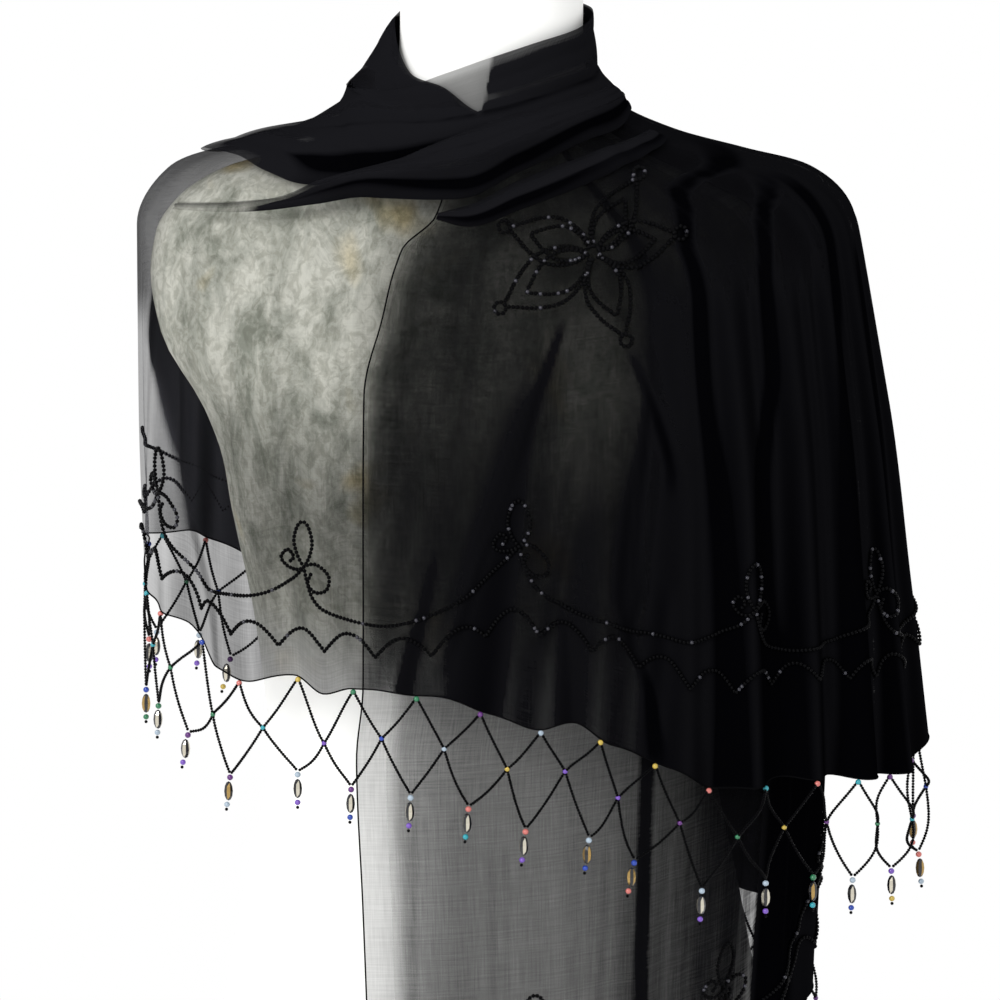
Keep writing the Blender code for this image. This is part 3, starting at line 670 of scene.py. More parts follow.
def spread(line, spacing):
    line = np.asarray(line)
    lengths = runLengths(line)
    count = max(int(round(lengths[-1] / spacing)), 1)
    target = np.linspace(0.0, lengths[-1], count + 1)
    return readAt(target, lengths, line)


def smoothLine(points, closed=False, steps=8):
    points = [np.array(p, float) for p in points]
    count = len(points)
    out = []
    for n in range(count if closed else count - 1):
        if closed:
            p0, p1, p2, p3 = (points[(n + k) % count] for k in (-1, 0, 1, 2))
        else:
            p0, p1, p2, p3 = (points[min(max(n + k, 0), count - 1)] for k in (-1, 0, 1, 2))
        for k in range(steps):
            t = k / steps
            out.append(0.5 * (2 * p1 + (p2 - p0) * t + (2 * p0 - 5 * p1 + 4 * p2 - p3) * t ** 2
                              + (3 * p1 - p0 - 3 * p2 + p3) * t ** 3))
    out.append(points[0] if closed else points[-1])
    return np.array(out)


# Form: the limbless torso, as level rows of height, half-width, centre and half-depth
formRows = (
    (0.000, 0.146, 0.000, 0.096), (0.004, 0.150, 0.000, 0.100), (0.060, 0.156, 0.002, 0.106),
    (0.170, 0.163, 0.004, 0.112), (0.260, 0.150, 0.000, 0.100), (0.350, 0.134, -0.005, 0.088),
    (0.430, 0.142, -0.008, 0.100), (0.500, 0.156, -0.012, 0.111), (0.530, 0.161, -0.014, 0.114),
    (0.560, 0.172, -0.012, 0.110), (0.605, 0.198, -0.004, 0.094), (0.640, 0.204, 0.000, 0.082),
    (0.666, 0.200, 0.000, 0.071), (0.683, 0.189, 0.000, 0.063), (0.695, 0.174, 0.000, 0.058),
    (0.704, 0.155, 0.000, 0.056), (0.713, 0.116, 0.000, 0.055), (0.724, 0.084, 0.000, 0.055),
    (0.736, 0.067, 0.000, 0.054), (0.755, 0.057, 0.000, 0.053), (0.790, 0.0545, 0.000, 0.053),
    (0.844, 0.0545, 0.000, 0.053), (0.850, 0.050, 0.000, 0.049),
)
torso = {"sides": 96, "stepsBetween": 4}
places = [np.linspace(a[0], b[0], torso["stepsBetween"], endpoint=False)
          for a, b in zip(formRows, formRows[1:])]
places = np.concatenate(places + [[formRows[-1][0]]])
widths, centres, depths = (rowCurve(formRows, k, places) for k in (1, 2, 3))
bm = bmesh.new()
for vertex, n in addTube(bm, torso["sides"], len(places)):
    vertex.co = (widths[n] * vertex.co.x, centres[n] + depths[n] * vertex.co.y, places[n])
formMesh = takeMesh(bm, "form_body")
formMesh.shade_smooth()
form = addObject("form_body", formMesh, [formCover])
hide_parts("dress_form")
print("form done")


# The three stretches of the shawl
# Painted shade along the front's pleats, put in as extra cloth: height, angle and half-width along each,
# then how much cloth is added
frontPleatShade = (
    (((0.360, 308.5, 2.0), (0.519, 306.3, 1.7), (0.602, 304.7, 1.4), (0.660, 305.0, 1.4),
      (0.6875, 310.5, 1.8), (0.698, 317.0, 3.0), (0.707, 335.0, 6.0), (0.717, 352.0, 7.0)), 3.6),
    (((0.360, 317.5, 2.4), (0.410, 317.0, 2.4), (0.478, 315.0, 2.3), (0.525, 314.8, 1.8),
      (0.600, 318.0, 1.5), (0.645, 318.1, 1.5), (0.675, 322.0, 1.8), (0.699, 334.3, 3.0)), 3.6),
    (((0.360, 334.5, 2.0), (0.434, 333.8, 2.0), (0.513, 333.8, 2.0), (0.582, 334.6, 1.8),
      (0.641, 336.9, 1.8), (0.680, 338.1, 2.0), (0.700, 340.0, 2.4)), 3.4),
    (((0.360, 347.0, 1.5), (0.520, 348.0, 1.5), (0.660, 349.0, 1.5)), 2.4),
    (((0.400, 266.8, 4.8), (0.445, 268.5, 4.4), (0.502, 271.2, 3.3), (0.542, 273.7, 1.9),
      (0.577, 276.3, 1.1), (0.600, 279.0, 0.9), (0.625, 281.5, 0.7)), 1.5),
    (((0.380, 296.5, 1.3), (0.414, 295.0, 0.8), (0.443, 292.0, 1.0), (0.471, 291.3, 2.4),
      (0.515, 292.0, 1.8), (0.558, 294.2, 0.9), (0.580, 295.0, 0.6)), 1.6),
    (((0.540, 298.4, 0.8), (0.552, 297.6, 0.8), (0.580, 295.5, 0.7), (0.608, 292.0, 0.6)), 1.2),
    (((0.400, 255.5, 1.5), (0.418, 256.2, 1.3), (0.460, 259.3, 0.8), (0.495, 261.4, 0.5)), 1.0),
    (((0.390, 281.6, 1.2), (0.437, 281.3, 0.9), (0.465, 280.8, 0.6)), 0.9),
    (((0.412, 218.3, 0.9), (0.446, 217.7, 1.1), (0.471, 215.7, 1.2), (0.502, 212.7, 0.8)), 0.6),
)


# Extra cloth along each pleat line, dark as painted shade
def pleatShading(pleats, angle, z):
    total = 0.0
    for line, amount in pleats:
        low, high = line[0][0], line[-1][0]
        centre = rowCurve(line, 1, z)
        width = rowCurve(line, 2, z)
        inside = smoothStep(low - 0.020, low, z) * (1 - smoothStep(high - 0.012, high + 0.006, z))
        total = total + amount * inside * np.exp(-((angle - centre) / width) ** 4)
    return total


# How much cloth lies over each place, 1 for a single layer, with extra cloth below the bust and along the
# pleats as painted shade. A pair is where a change begins and ends
frontLayersAndShade = {
    "low": (0.505, 0.615), "chest": (200.0, 216.0), "shadeBelowBust": 0.72, "nearHem": (0.455, 0.485),
    "lowLeft": 0.30, "leftSide": (186.0, 200.0), "shoulder": (0.600, 0.640), "leftShoulder": 0.75,
    "tail": (245.0, 255.0), "overTail": 1.80, "shadeBelowBustOverTail": 0.35, "right": (289.0, 303.0),
    "rightBody": 3.0, "rightTop": (0.620, 0.670), "thinTop": 1.1, "rightSide": (325.0, 340.0),
    "light": 0.45, "lightSpot": (287.0, 0.575, 6.0, 0.055),
}


def frontDensityAndShade(angle, z):
    plan = frontLayersAndShade
    low = 1 - smoothStep(*plan["low"], z)
    chest = smoothStep(*plan["chest"], angle)
    leftSide = 1 - smoothStep(*plan["leftSide"], angle)
    nearHem = 1 - smoothStep(*plan["nearHem"], z)
    # Below the bust the front is made denser and darker: painted shade where the cloth falls away from
    # the form
    single = 1.0 + plan["shadeBelowBust"] * low * chest + plan["lowLeft"] * nearHem * (1 - chest)
    single = single + plan["leftShoulder"] * smoothStep(*plan["shoulder"], z) * leftSide
    overTail = smoothStep(*plan["tail"], angle)
    right = smoothStep(*plan["right"], angle)
    thinTop = plan["thinTop"] * smoothStep(*plan["rightTop"], z)
    rightBody = plan["rightBody"] - thinTop * (1 - smoothStep(*plan["rightSide"], angle))
    body = single * (1 - overTail) + (plan["overTail"] + plan["shadeBelowBustOverTail"] * low) * overTail
    body = body * (1 - right) + rightBody * right
    body = body - plan["light"] * patch(angle, z, plan["lightSpot"])
    # The pleat lines add painted shade
    return body + pleatShading(frontPleatShade, angle, z)


# The back's dark part, denser and darker cloth painted in as the form's shadow cast behind it, ends at an
# edge: height, then angle
backLayersAndShadow = {
    "edge": ((0.46, 151.0), (0.50, 152.5), (0.56, 158.0), (0.60, 166.0), (0.63, 163.0), (0.66, 150.0),
             (0.70, 132.0)),
    "softness": 2.5, "light": 1.1, "dark": 2.3, "deep": 2.4, "deepFrom": (104.0, 124.0),
    "shoulder": (0.600, 0.630), "atShoulder": 1.10,
}


def backDensityAndShadow(angle, z):
    plan = backLayersAndShadow
    # Inside the edge the back is made dense and dark: painted shadow
    edge = smoothCurve(plan["edge"], z)
    dark = 1 - smoothStep(edge - plan["softness"], edge + plan["softness"], angle)
    deep = 1 - smoothStep(*plan["deepFrom"], angle)
    shoulder = plan["atShoulder"] * smoothStep(*plan["shoulder"], z)
    return plan["light"] + (plan["dark"] + plan["deep"] * deep) * dark + shoulder * (1 - dark)


innerGather = {"full": 1.25, "lessRight": 0.20, "right": (265.0, 280.0), "atEdge": 0.2, "fade": 3.0}


def innerDensity(angle, z):
    plan = innerGather
    first = innerStart(z)
    fromEdge = smoothStep(first, first + plan["fade"], angle - tailStart(z))
    full = plan["full"] - plan["lessRight"] * smoothStep(*plan["right"], angle)
    return full * (plan["atEdge"] + (1 - plan["atEdge"]) * fromEdge)


# The tail: bands that grow denser to the right, one dark pleat of folded cloth with painted shade along
# it, a light strip and two light lobes
tailLayersAndShade = {
    "middle": 0.15, "middleFrom": (272.0, 290.0), "right": 0.9, "rightFrom": (298.0, 314.0),
    "tailPleatShade": 2.0, "tailPleatShadeAt": (297.0, 1.3), "dense": 5.5, "denseFrom": (324.0, 327.0),
    "stripAt": (322.4, 1.7), "stripTop": (0.30, 0.34), "lobesAt": ((347.0, 4.5), (364.0, 5.0)),
    "lobesTop": (0.252, 0.266), "inLobes": 0.9, "inStrip": 0.1,
}


def band(angle, place):
    return np.exp(-((angle - place[0]) / place[1]) ** 4)


def tailDensityAndShade(angle, z):
    plan = tailLayersAndShade
    strip = band(angle, plan["stripAt"]) * (1 - smoothStep(*plan["stripTop"], z))
    lobes = band(angle, plan["lobesAt"][0]) + band(angle, plan["lobesAt"][1])
    lobes = lobes * (1 - smoothStep(*plan["lobesTop"], z))
    body = 1.0 + plan["middle"] * smoothStep(*plan["middleFrom"], angle)
    body = body + plan["right"] * smoothStep(*plan["rightFrom"], angle)
    # Along the pleat: extra cloth from the fold, with its darkness partly painted shade
    body = body + plan["tailPleatShade"] * band(angle, plan["tailPleatShadeAt"])
    dense = smoothStep(*plan["denseFrom"], angle) * (1 - plan["inLobes"] * lobes)
    return body * (1 - dense) * (1 - plan["inStrip"] * strip) + plan["dense"] * dense


frontCloth = gridMesh("cloth_front", *makeCloth("front", frontHem, frontLift, frontShape, frontDensityAndShade),
                      voile)
backCloth = gridMesh("cloth_back", *makeCloth("back", backHem, backLift, backShape, backDensityAndShadow),
                     backVoile)
tailCloth = gridMesh("cloth_tail", *makeCloth("tail", tailHem, tailLift, tailShape, tailDensityAndShade,
                                              slanted=True), tailVoile)
# The tail hangs folded double: its inner layer starts a little inside the plain edge
innerCloth = gridMesh("cloth_tail_inner", *makeCloth("tailInner", tailHem, tailLift, tailShape,
                                                     innerDensity, slanted=True, folded=True,
                                                     lower=-0.0011), tailVoile)
for thing, node in ((frontCloth, "shawl_front"), (backCloth, "shawl_back"), (tailCloth, "shawl_tail")):
    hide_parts(node)
print("stretches done")

# Rolled hems, along the lower edge and up the free end of each end stretch
hems = {}
for name in ("front", "back", "tail"):
    points = cloths[name]["points"]
    lines = [points[:, -1]]
    if name == "front":
        lines.append(points[-1])
    if name == "tail":
        lines.append(points[0])
    hems[name] = tubeMesh("hem_" + name, lines, hemEdge["radius"], hemEdge["sides"], hemVoile)
print("hems done")


# Neck pieces. Each row: angle, height of the upper edge, of the lower edge, and how far it bulges.
# Then the mesh's columns and rows across, and its long pleats
collarPlan = {
    "rows": ((0, 0.766, 0.741, 0.001), (45, 0.790, 0.742, 0.001), (90, 0.796, 0.744, 0.002),
             (135, 0.797, 0.738, 0.007), (160, 0.795, 0.735, 0.012), (180, 0.791, 0.731, 0.016),
             (200, 0.776, 0.728, 0.013), (220, 0.763, 0.721, 0.008), (240, 0.759, 0.714, 0.005),
             (270, 0.743, 0.716, 0.002), (300, 0.750, 0.734, 0.001), (330, 0.756, 0.739, 0.001),
             (360, 0.766, 0.741, 0.001)),
    "columns": 240, "across": 24, "pleats": 2.0, "depth": 0.0012,
    "thin": 0.30, "thinSpot": (190.0, 0.754, 14.0, 0.012),
}
upperPlan = {
    "rows": ((0, 0.797, 0.738, 0.000), (45, 0.798, 0.738, 0.001), (90, 0.790, 0.730, 0.002),
             (135, 0.768, 0.715, 0.004), (160, 0.750, 0.703, 0.004), (180, 0.740, 0.706, 0.003),
             (197, 0.742, 0.707, 0.003), (212, 0.750, 0.703, 0.003), (224, 0.757, 0.699, 0.003),
             (236, 0.763, 0.700, 0.003), (250, 0.769, 0.709, 0.002), (270, 0.777, 0.722, 0.002),
             (300, 0.786, 0.732, 0.001), (330, 0.791, 0.738, 0.000), (360, 0.797, 0.738, 0.000)),
    "columns": 240, "across": 36, "pleats": 3.0, "depth": 0.0016, "above": 0.0034,
    "throat": 0.62, "throatFrom": (228.0, 236.0), "throatTo": 269.0, "throatSlant": 9.0,
    "throatFade": 2.5, "overCollar": (-0.002, 0.003),
    "under": 3.0, "underFrom": (0.45, 0.85), "underAround": (205.0, 225.0),
    "tip": 0.35, "tipSpot": (176.0, 0.722, 12.0, 0.010),
}
lowerPlan = {
    "rows": ((203, 0.686, 0.682, 0.001), (217, 0.689, 0.683, 0.003), (224, 0.692, 0.685, 0.004),
             (231, 0.701, 0.689, 0.006), (241, 0.712, 0.693, 0.008), (253, 0.725, 0.693, 0.009),
             (262, 0.733, 0.694, 0.010), (278, 0.742, 0.709, 0.010), (304, 0.748, 0.723, 0.007),
             (325, 0.751, 0.728, 0.004), (342, 0.751, 0.733, 0.001)),
    "columns": 150, "across": 28, "pleats": 2.0, "depth": 0.0016, "above": 0.0080,
    "fullFrom": (216.0, 236.0), "thin": 0.25, "crease": 0.55, "creaseAt": (0.45, 0.26),
    "under": 3.0, "underFrom": (0.55, 1.0),
}
foldPlan = {
    "rows": ((258, 0.686, 0.682, 0.001), (265, 0.691, 0.678, 0.003), (277, 0.704, 0.688, 0.005),
             (297, 0.715, 0.702, 0.005), (316, 0.721, 0.712, 0.003), (337, 0.725, 0.720, 0.001)),
    "columns": 90, "across": 16, "pleats": 1.0, "depth": 0.0012, "under": 3.5, "underFrom": (0.45, 1.0),
}


def neckEdges(rows, angle):
    high = rowAt(angle, rowCurve(rows, 1, angle))
    low = rowAt(angle, rowCurve(rows, 2, angle))
    return high, low, rowCurve(rows, 3, angle)


# Near the neck the pieces lie against the form, and lower down on the cloth of the stretches
resting = {"atNeck": -0.0012, "overCloth": 0.0060, "from": (1.2, 1.95), "onStretch": 0.0024}


def stackLift(row):
    return resting["atNeck"] + resting["overCloth"] * smoothStep(*resting["from"], row)


def restLift(angle, row):
    z = drapePoint(angle, row)[..., 2]
    return np.where(angle > 180.0, frontLift(angle, z), backLift(angle, z)) + resting["onStretch"]


def settle(angle, row, lift, edgeRow):
    down = smoothStep(edgeRow + 0.05, edgeRow + 0.55, row)
    return lift * (1 - down) + restLift(angle, row) * down


def collarOutside(angle, row):
    high, low, bulge = neckEdges(collarPlan["rows"], angle)
    share = np.clip((row - high) / (low - high), 0.0, 1.0)
    return stackLift(row) + bulge * np.sin(np.pi * share) ** 0.8


def upperLift(angle, row):
    lift = collarOutside(angle, row) + upperPlan["above"]
    return settle(angle, row, lift, neckEdges(collarPlan["rows"], angle)[1])


def lowerLift(angle, row):
    lift = collarOutside(angle, row) + lowerPlan["above"]
    return settle(angle, row, lift, neckEdges(upperPlan["rows"], angle)[1])


def makeNeckPiece(name, node, plan, liftAt, densityAndShadeAt):
    rows = plan["rows"]
    around = np.linspace(rows[0][0], rows[-1][0], plan["columns"] + 1)[:, None]
    angle, share = np.broadcast_arrays(around, np.linspace(0.0, 1.0, plan["across"] + 1)[None, :])
    high, low, bulge = neckEdges(rows, angle)
    row = high + (low - high) * share
    turn = np.radians(angle)
    drift = 0.10 * np.sin(2 * turn + 0.6) + 0.05 * np.sin(5 * turn)
    ridges = np.abs(np.cos(np.pi * (plan["pleats"] * share + drift))) ** 0.7
    edges = np.sin(np.pi * np.clip(share, 0.0, 1.0)) ** 0.4
    lift = liftAt(angle, row) + bulge * np.sin(np.pi * share) ** 0.8
    lift = lift + plan["depth"] * (ridges - 0.6) * edges
    points = drapePoint(angle, row) + drapeNormal(angle, row) * lift[..., None]
    along = np.cumsum(np.linalg.norm(np.diff(points, axis=0, prepend=points[:1]), axis=-1), axis=0)
    above = np.cumsum(np.linalg.norm(np.diff(points, axis=1, prepend=points[:, :1]), axis=-1), axis=1)
    densityAndShade = densityAndShadeAt(angle, points[..., 2], share)
    # Denser, darker lines along the valleys between the long pleats: painted shade in the folds
    densityAndShade = densityAndShade * (1 + 3.4 * (1 - ridges) ** 1.2 * edges * smoothStep(0.80, 0.98, densityAndShade))
    thing = gridMesh(name, points, np.stack((along, above), axis=-1), densityAndShade, gatheredVoile)
    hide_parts(node)
    print(name, "long", round(along[-1].mean(), 3), "wide", round(above[:, -1].mean(), 3))
    return thing


def collarDensity(angle, z, share):
    return 1.0 - collarPlan["thin"] * patch(angle, z, collarPlan["thinSpot"])


# Over the throat only one layer passes, and the far end of this band is thin too
def upperDensityAndShade(angle, z, share):
    plan = upperPlan
    collarTop = rowCurve(collarPlan["rows"], 1, angle)
    end = plan["throatTo"] - plan["throatSlant"] * share
    throat = smoothStep(*plan["throatFrom"], angle)
    throat = throat * (1 - smoothStep(end, end + plan["throatFade"], angle))
    throat = throat * smoothStep(*plan["overCollar"], z - collarTop)
    # Towards its lower edge the band is made denser and darker: painted shade
    under = smoothStep(*plan["underFrom"], share) * smoothStep(*plan["underAround"], angle)
    body = (1.0 + plan["under"] * under) * (1 - throat) + plan["throat"] * throat
    return body * (1 - plan["tip"] * patch(angle, z, plan["tipSpot"]))


def lowerDensityAndShade(angle, z, share):
    plan = lowerPlan
    full = smoothStep(*plan["fullFrom"], angle)
    middle, width = plan["creaseAt"]
    crease = plan["thin"] + plan["crease"] * np.exp(-((share - middle) / width) ** 2)
    # Towards its lower edge the band is made denser and darker: painted shade
    return crease * (1 - full) + full * (1.0 + plan["under"] * smoothStep(*plan["underFrom"], share))


def foldDensityAndShade(angle, z, share):
    # Towards its lower edge the fold is made denser and darker: painted shade
    return 1.0 + foldPlan["under"] * smoothStep(*foldPlan["underFrom"], share)


collar = makeNeckPiece("neck_collar_cloth", "neck_collar", collarPlan, lambda angle, row: stackLift(row),
                       collarDensity)
bandUpper = makeNeckPiece("neck_upper_cloth", "neck_band_upper", upperPlan, upperLift, upperDensityAndShade)
bandLower = makeNeckPiece("neck_lower_cloth", "neck_band_lower", lowerPlan, lowerLift, lowerDensityAndShade)
foldLow = makeNeckPiece("neck_low_cloth", "neck_fold_low", foldPlan, restLift, foldDensityAndShade)
print("neck done")


# Bead nets. On a sloping hem the net hangs aside, towards the hem's higher end. Round beads: how far
# below the place they belong to, width and height
net = {
    "jointDrop": 0.030, "pointDrop": 0.058, "seed": 0.0017, "margin": 0.0022, "swing": 0.6,
    "reach": 0.050, "fade": 0.045, "wobble": 0.0015, "tipWobble": 0.0018, "bow": 0.0018,
    "upperBow": 0.3, "lowerBow": 0.5, "lowerSag": 0.6, "rootDrop": 0.0012, "gap": 0.0002,
    "stripes": 0.34, "silver": 0.75,
    "rootBead": (0.0020, 0.0036, 0.0034), "jointBead": (0.0, 0.0032, 0.0030),
    "upperBead": (0.0020, 0.0038, 0.0036), "lowerBead": (0.0188, 0.0036, 0.0034),
    "endBead": (0.0218, 0.0020, 0.0020), "oval": 0.0104, "ovalSize": (0.0056, 0.0056, 0.0118),
}


def makeNet(name, node):
    plan = cloths[name]
    line = plan["points"][:, -1]
    lengths = runLengths(line)
    outward = unit(plan["normals"][:, -1])
    cells = round(lengths[-1] / hemEdge["cell"])
    pitch = (lengths[-1] - 2 * net["margin"]) / cells

    def place(along, down):
        along, down = np.broadcast_arrays(np.asarray(along, float), np.asarray(down, float))
        before = np.maximum(along - net["reach"], 0.0)
        after = np.minimum(along + net["reach"], lengths[-1])
        rise = np.interp(after, lengths, line[:, 2]) - np.interp(before, lengths, line[:, 2])
        fade = smoothStep(0.0, net["fade"], np.minimum(along, lengths[-1] - along))
        aside = along + net["swing"] * fade * down * rise / (after - before)
        spot = readAt(aside, lengths, line)
        push = readAt(aside, lengths, outward)
        push[..., 2] = 0.0
        spot[..., 2] = np.interp(along, lengths, line[:, 2]) - down
        return spot + push * net["gap"]

    seeds, rounds, roundSlots, roundSizes, ovals = [], [], [], [], []

    def addRound(along, down, kind, slotNumber):
        drop, width, height = net[kind]
        rounds.append(place(along, down + drop))
        roundSlots.append(slotNumber)
        roundSizes.append((width, width, height))

    joints = [net["margin"] + pitch * n for n in range(cells + 1)]
    jointDrops = [net["jointDrop"] + random.uniform(-net["wobble"], net["wobble"]) for _ in joints]
    t = np.linspace(0.0, 1.0, 24)
    bow = net["bow"] * np.sin(np.pi * t)
    for n in range(cells):
        root = net["margin"] + pitch * (n + 0.5)
        tip = root + random.uniform(-net["tipWobble"], net["tipWobble"])
        tipDrop = net["pointDrop"] + random.uniform(-net["wobble"], net["tipWobble"])
        for side in (0, 1):
            joint = joints[n + side]
            drop = jointDrops[n + side]
            away = 1 if side else -1
            upperAlong = root + (joint - root) * t + away * bow * net["upperBow"]
            upper = place(upperAlong, net["rootDrop"] + (drop - net["rootDrop"]) * t + bow)
            lowerAlong = joint + (tip - joint) * t + away * bow * net["lowerBow"]
            lower = place(lowerAlong, drop + (tipDrop - drop) * t + bow * net["lowerSag"])
            seeds.extend(spread(upper, net["seed"])[1:])
            seeds.extend(spread(lower, net["seed"])[1:-1])
        colors = random.sample(range(len(beadColors)), 4)
        addRound(root, 0.0, "rootBead", 1 + colors[2])
        if n:
            addRound(joints[n], jointDrops[n], "jointBead", 1 + colors[3])
        addRound(tip, tipDrop, "upperBead", 1 + colors[0])
        ovals.append(place(tip, tipDrop + net["oval"]))
        addRound(tip, tipDrop, "lowerBead", 1 + colors[1])
        addRound(tip, tipDrop, "endBead", 0)
    firstMetal = 1 + len(beadColors)
    groups = [
        ("seed", seeds, (net["seed"] * 1.25,) * 3, 0, True),
        ("round", rounds, roundSizes, roundSlots, True),
        ("oval", ovals, net["ovalSize"], firstMetal, False),
    ]
    materials = [blackBead, *colorBeads, dropBlack, dropSilver, dropGold]
    thing = beadMesh("net_" + name + "_beads", groups, materials)
    # Each oval is dark with pale upright stripes, a few of them golden
    slots = np.zeros(len(thing.data.polygons), dtype=np.int32)
    thing.data.polygons.foreach_get("material_index", slots)
    vertices, faces = shapes["oval"]
    middles = vertices[faces].mean(axis=1)
    around = np.floor(np.arctan2(middles[:, 1], middles[:, 0]) / (np.pi / 4)).astype(int)
    stripe = (around % 2 == 0) & (np.abs(middles[:, 2]) < net["stripes"])
    striped = slots[slots == firstMetal].reshape(len(ovals), -1)
    pale = np.where(noise.random((len(ovals), 1)) < net["silver"], firstMetal + 1, firstMetal + 2)
    slots[slots == firstMetal] = np.where(stripe[None, :], pale, striped).ravel()
    thing.data.polygons.foreach_set("material_index", slots)
    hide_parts(node)
    print(thing.name, cells, "cells", len(seeds), "seed beads")
    return thing


nets = {name: makeNet(name, "net_" + name) for name in hems}

# Embroidery: beaded cord lines laid out along the hem, in millimetres right of a motif's
# crossing and above the hem. Towards the right of the front the lines rise away from the hem
embroidery = {
    "bead": 0.0028, "lift": 0.0010, "glints": 0.07, "even": 0.035, "margin": 0.006, "span": 0.127,
    "scallops": {"low": 0.021, "high": 0.012, "each": 0.034}, "spacing": 0.86,
    "centres": {"front": (0.063, 0.190, 0.327, 0.490, 0.620), "back": (0.06, 0.187, 0.314, 0.441),
                "tail": (0.100, 0.227, 0.354)},
    "rise": {"front": ((0.0, 0.0), (0.255, 0.0), (0.29, 0.013), (0.327, 0.034), (0.345, 0.030),
                       (0.40, 0.030), (0.55, 0.037), (0.80, 0.037)),
             "back": ((0.0, 0.0), (0.8, 0.0)), "tail": ((0.0, 0.010), (0.8, 0.010))},
}
motif = (
    ((0, 70), (-4.5, 76), (-7.2, 85), (-4.5, 94), (0, 97), (4.5, 94), (7.2, 85), (4.5, 76), (0, 70)),
    ((0, 70), (-5, 68), (-12, 69), (-16.7, 74), (-12, 79), (-7.6, 75.5), (-10, 72.5)),
    ((0, 70), (5, 72), (11, 72), (18, 66), (16.5, 58), (9, 55.5), (3, 60), (5.5, 66)),
    ((0, 70), (2, 62), (6, 52), (14, 45), (30, 41), (52, 40), (70, 44), (88, 48), (104, 54), (118, 62),
     (127, 70)),
)


def motifLines(name):
    centres = embroidery["centres"][name]
    rise = embroidery["rise"][name]
    length = cloths[name]["length"]
    lines = []
    edge = cloths[name]["points"][:, -1]
    along = runLengths(edge)
    even = np.linspace(0.0, along[-1], 400)
    level = np.interp(even, along, edge[:, 2])
    reach = round(embroidery["even"] / even[1])
    window = np.ones(2 * reach + 1) / (2 * reach + 1)
    mean = np.convolve(np.pad(level, reach, mode="edge"), window, "valid")
    margin, span, scallops = (embroidery[key] for key in ("margin", "span", "scallops"))

    # Lines keep their distance from the hem's general run, not from each small wave of it
    def add(x, y):
        inside = (x > margin) & (x < length - margin)
        if inside.sum() > 2:
            x = x[inside]
            above = y[inside] + smoothCurve(rise, x) + np.interp(x, even, mean - level)
            lines.append(onCloth(name, x, np.maximum(above, margin), embroidery["lift"]))

    for number, centre in enumerate(centres):
        for shape in motif:
            flat = smoothLine(shape) * 0.001
            stretch = 1.0
            if shape is motif[-1] and number + 1 < len(centres):
                stretch = (centres[number + 1] - centre) / span
            add(centre + flat[:, 0] * stretch, flat[:, 1])
    first = smoothLine(motif[-1]) * 0.001
    add(centres[0] - span + first[:, 0], first[:, 1])
    x = np.arange(margin, length - margin, 0.001)
    add(x, scallops["low"] + scallops["high"] * np.abs(np.sin(np.pi * x / scallops["each"])))
    return lines


# The flower on the front: its centre, each petal's tip from there, across and up, half a petal's
# outline along and beside its line, the size of the petal inside it, and the ring at its tip
flower = {
    "centre": (0.060, 0.6635), "bead": 0.0031,
    "petals": ((0.025, 0.038), (0.048, 0.008), (0.018, -0.047), (-0.052, -0.029), (-0.049, 0.014)),
    "half": ((0.06, 0.05), (0.22, 0.19), (0.48, 0.26), (0.72, 0.19), (0.90, 0.08), (1.0, 0.0)),
    "inside": 0.72, "ring": 0.0035,
}


def frontSpot(x, z):
    low = np.full(x.shape, 240.0)
    high = np.full(x.shape, 335.0)
    for _ in range(18):
        angle = (low + high) / 2
        row = rowAt(angle, z)
        across = drapePoint(angle, row)[:, 0] + drapeNormal(angle, row)[:, 0] * frontLift(angle, z)
        low = np.where(across < x, angle, low)
        high = np.where(across < x, high, angle)
    lift = frontShape(angle, z) + embroidery["lift"]
    return drapePoint(angle, row) + drapeNormal(angle, row) * lift[:, None]


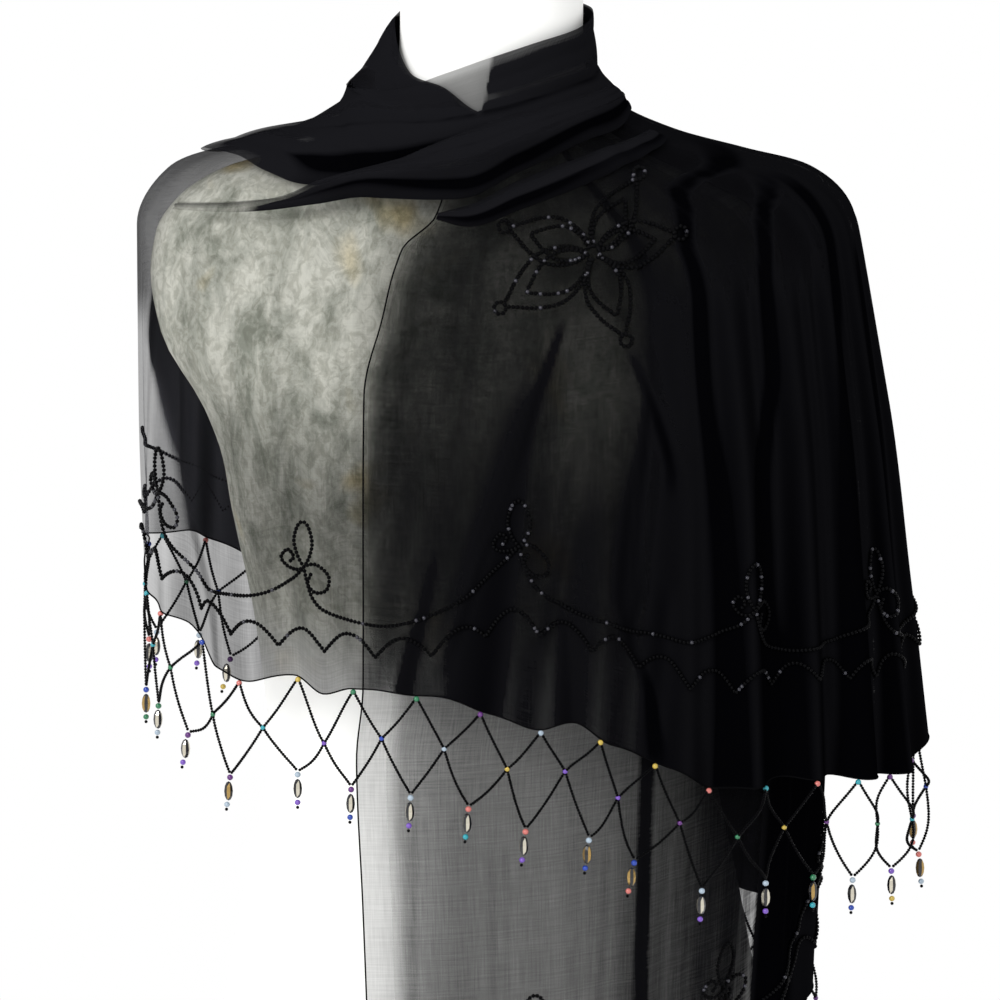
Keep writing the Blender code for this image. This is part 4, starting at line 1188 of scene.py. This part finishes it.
def flowerLines():
    lines = []
    for across, up in flower["petals"]:
        length = math.hypot(across, up)
        forward = np.array((across, up)) / length
        sideways = np.array((-forward[1], forward[0]))
        for scale in (1.0, flower["inside"]):
            other = tuple((a, -b) for a, b in reversed(flower["half"][:-1]))
            outline = smoothLine(flower["half"] + other) * length * scale
            outline[:, 0] += 0.10 * length * (1 - scale)
            lines.append(outline[:, :1] * forward + outline[:, 1:] * sideways)
        turn = np.linspace(0.0, 2 * math.pi, 20)[:, None]
        ring = flower["ring"]
        lines.append((length + ring + ring * np.cos(turn)) * forward + ring * np.sin(turn) * sideways)
    centre = np.array(flower["centre"])
    return [frontSpot(*(centre + line).T) for line in lines]


stitched = {name: [(line, embroidery["bead"]) for line in motifLines(name)] for name in hems}
stitched["front"] += [(line, flower["bead"]) for line in flowerLines()]
for name, lines in stitched.items():
    groups = []
    for line, bead in lines:
        beads = spread(line, bead * embroidery["spacing"])
        slots = (noise.random(len(beads)) < embroidery["glints"]).astype(int)
        groups.append(("seed", beads, (bead,) * 3, slots, True))
    beadMesh("embroidery_" + name, groups, [blackBead, glintBead])

# Floor and light
lighting = {"floor": 0.90, "floorRadius": 0.9, "world": 1.0, "key": 60.0, "keySize": 1.2,
            "keyPlace": (-1.6, -2.6, 2.2), "keyAims": (0.0, 0.0, 0.5)}
floorMaterial, _ = newMaterial("floor", (lighting["floor"],) * 3, 0.9, 0.1)
bm = bmesh.new()
bmesh.ops.create_circle(bm, cap_ends=True, segments=64, radius=lighting["floorRadius"])
floorMesh = takeMesh(bm, "floor")
floorMesh.materials.append(floorMaterial)
floor = bpy.data.objects.new("floor", floorMesh)
scene.collection.objects.link(floor)

world = bpy.data.worlds.new("world")
world.use_nodes = True
background = world.node_tree.nodes["Background"]
setInputs(background, {"Color": (1.0, 1.0, 1.0, 1.0), "Strength": lighting["world"]})
scene.world = world

keyData = bpy.data.lights.new("key", "AREA")
keyData.energy = lighting["key"]
keyData.size = lighting["keySize"]
key = bpy.data.objects.new("key", keyData)
key.location = lighting["keyPlace"]
key.rotation_euler = (Vector(lighting["keyAims"]) - key.location).to_track_quat("-Z", "Y").to_euler()
scene.collection.objects.link(key)
print("light done")
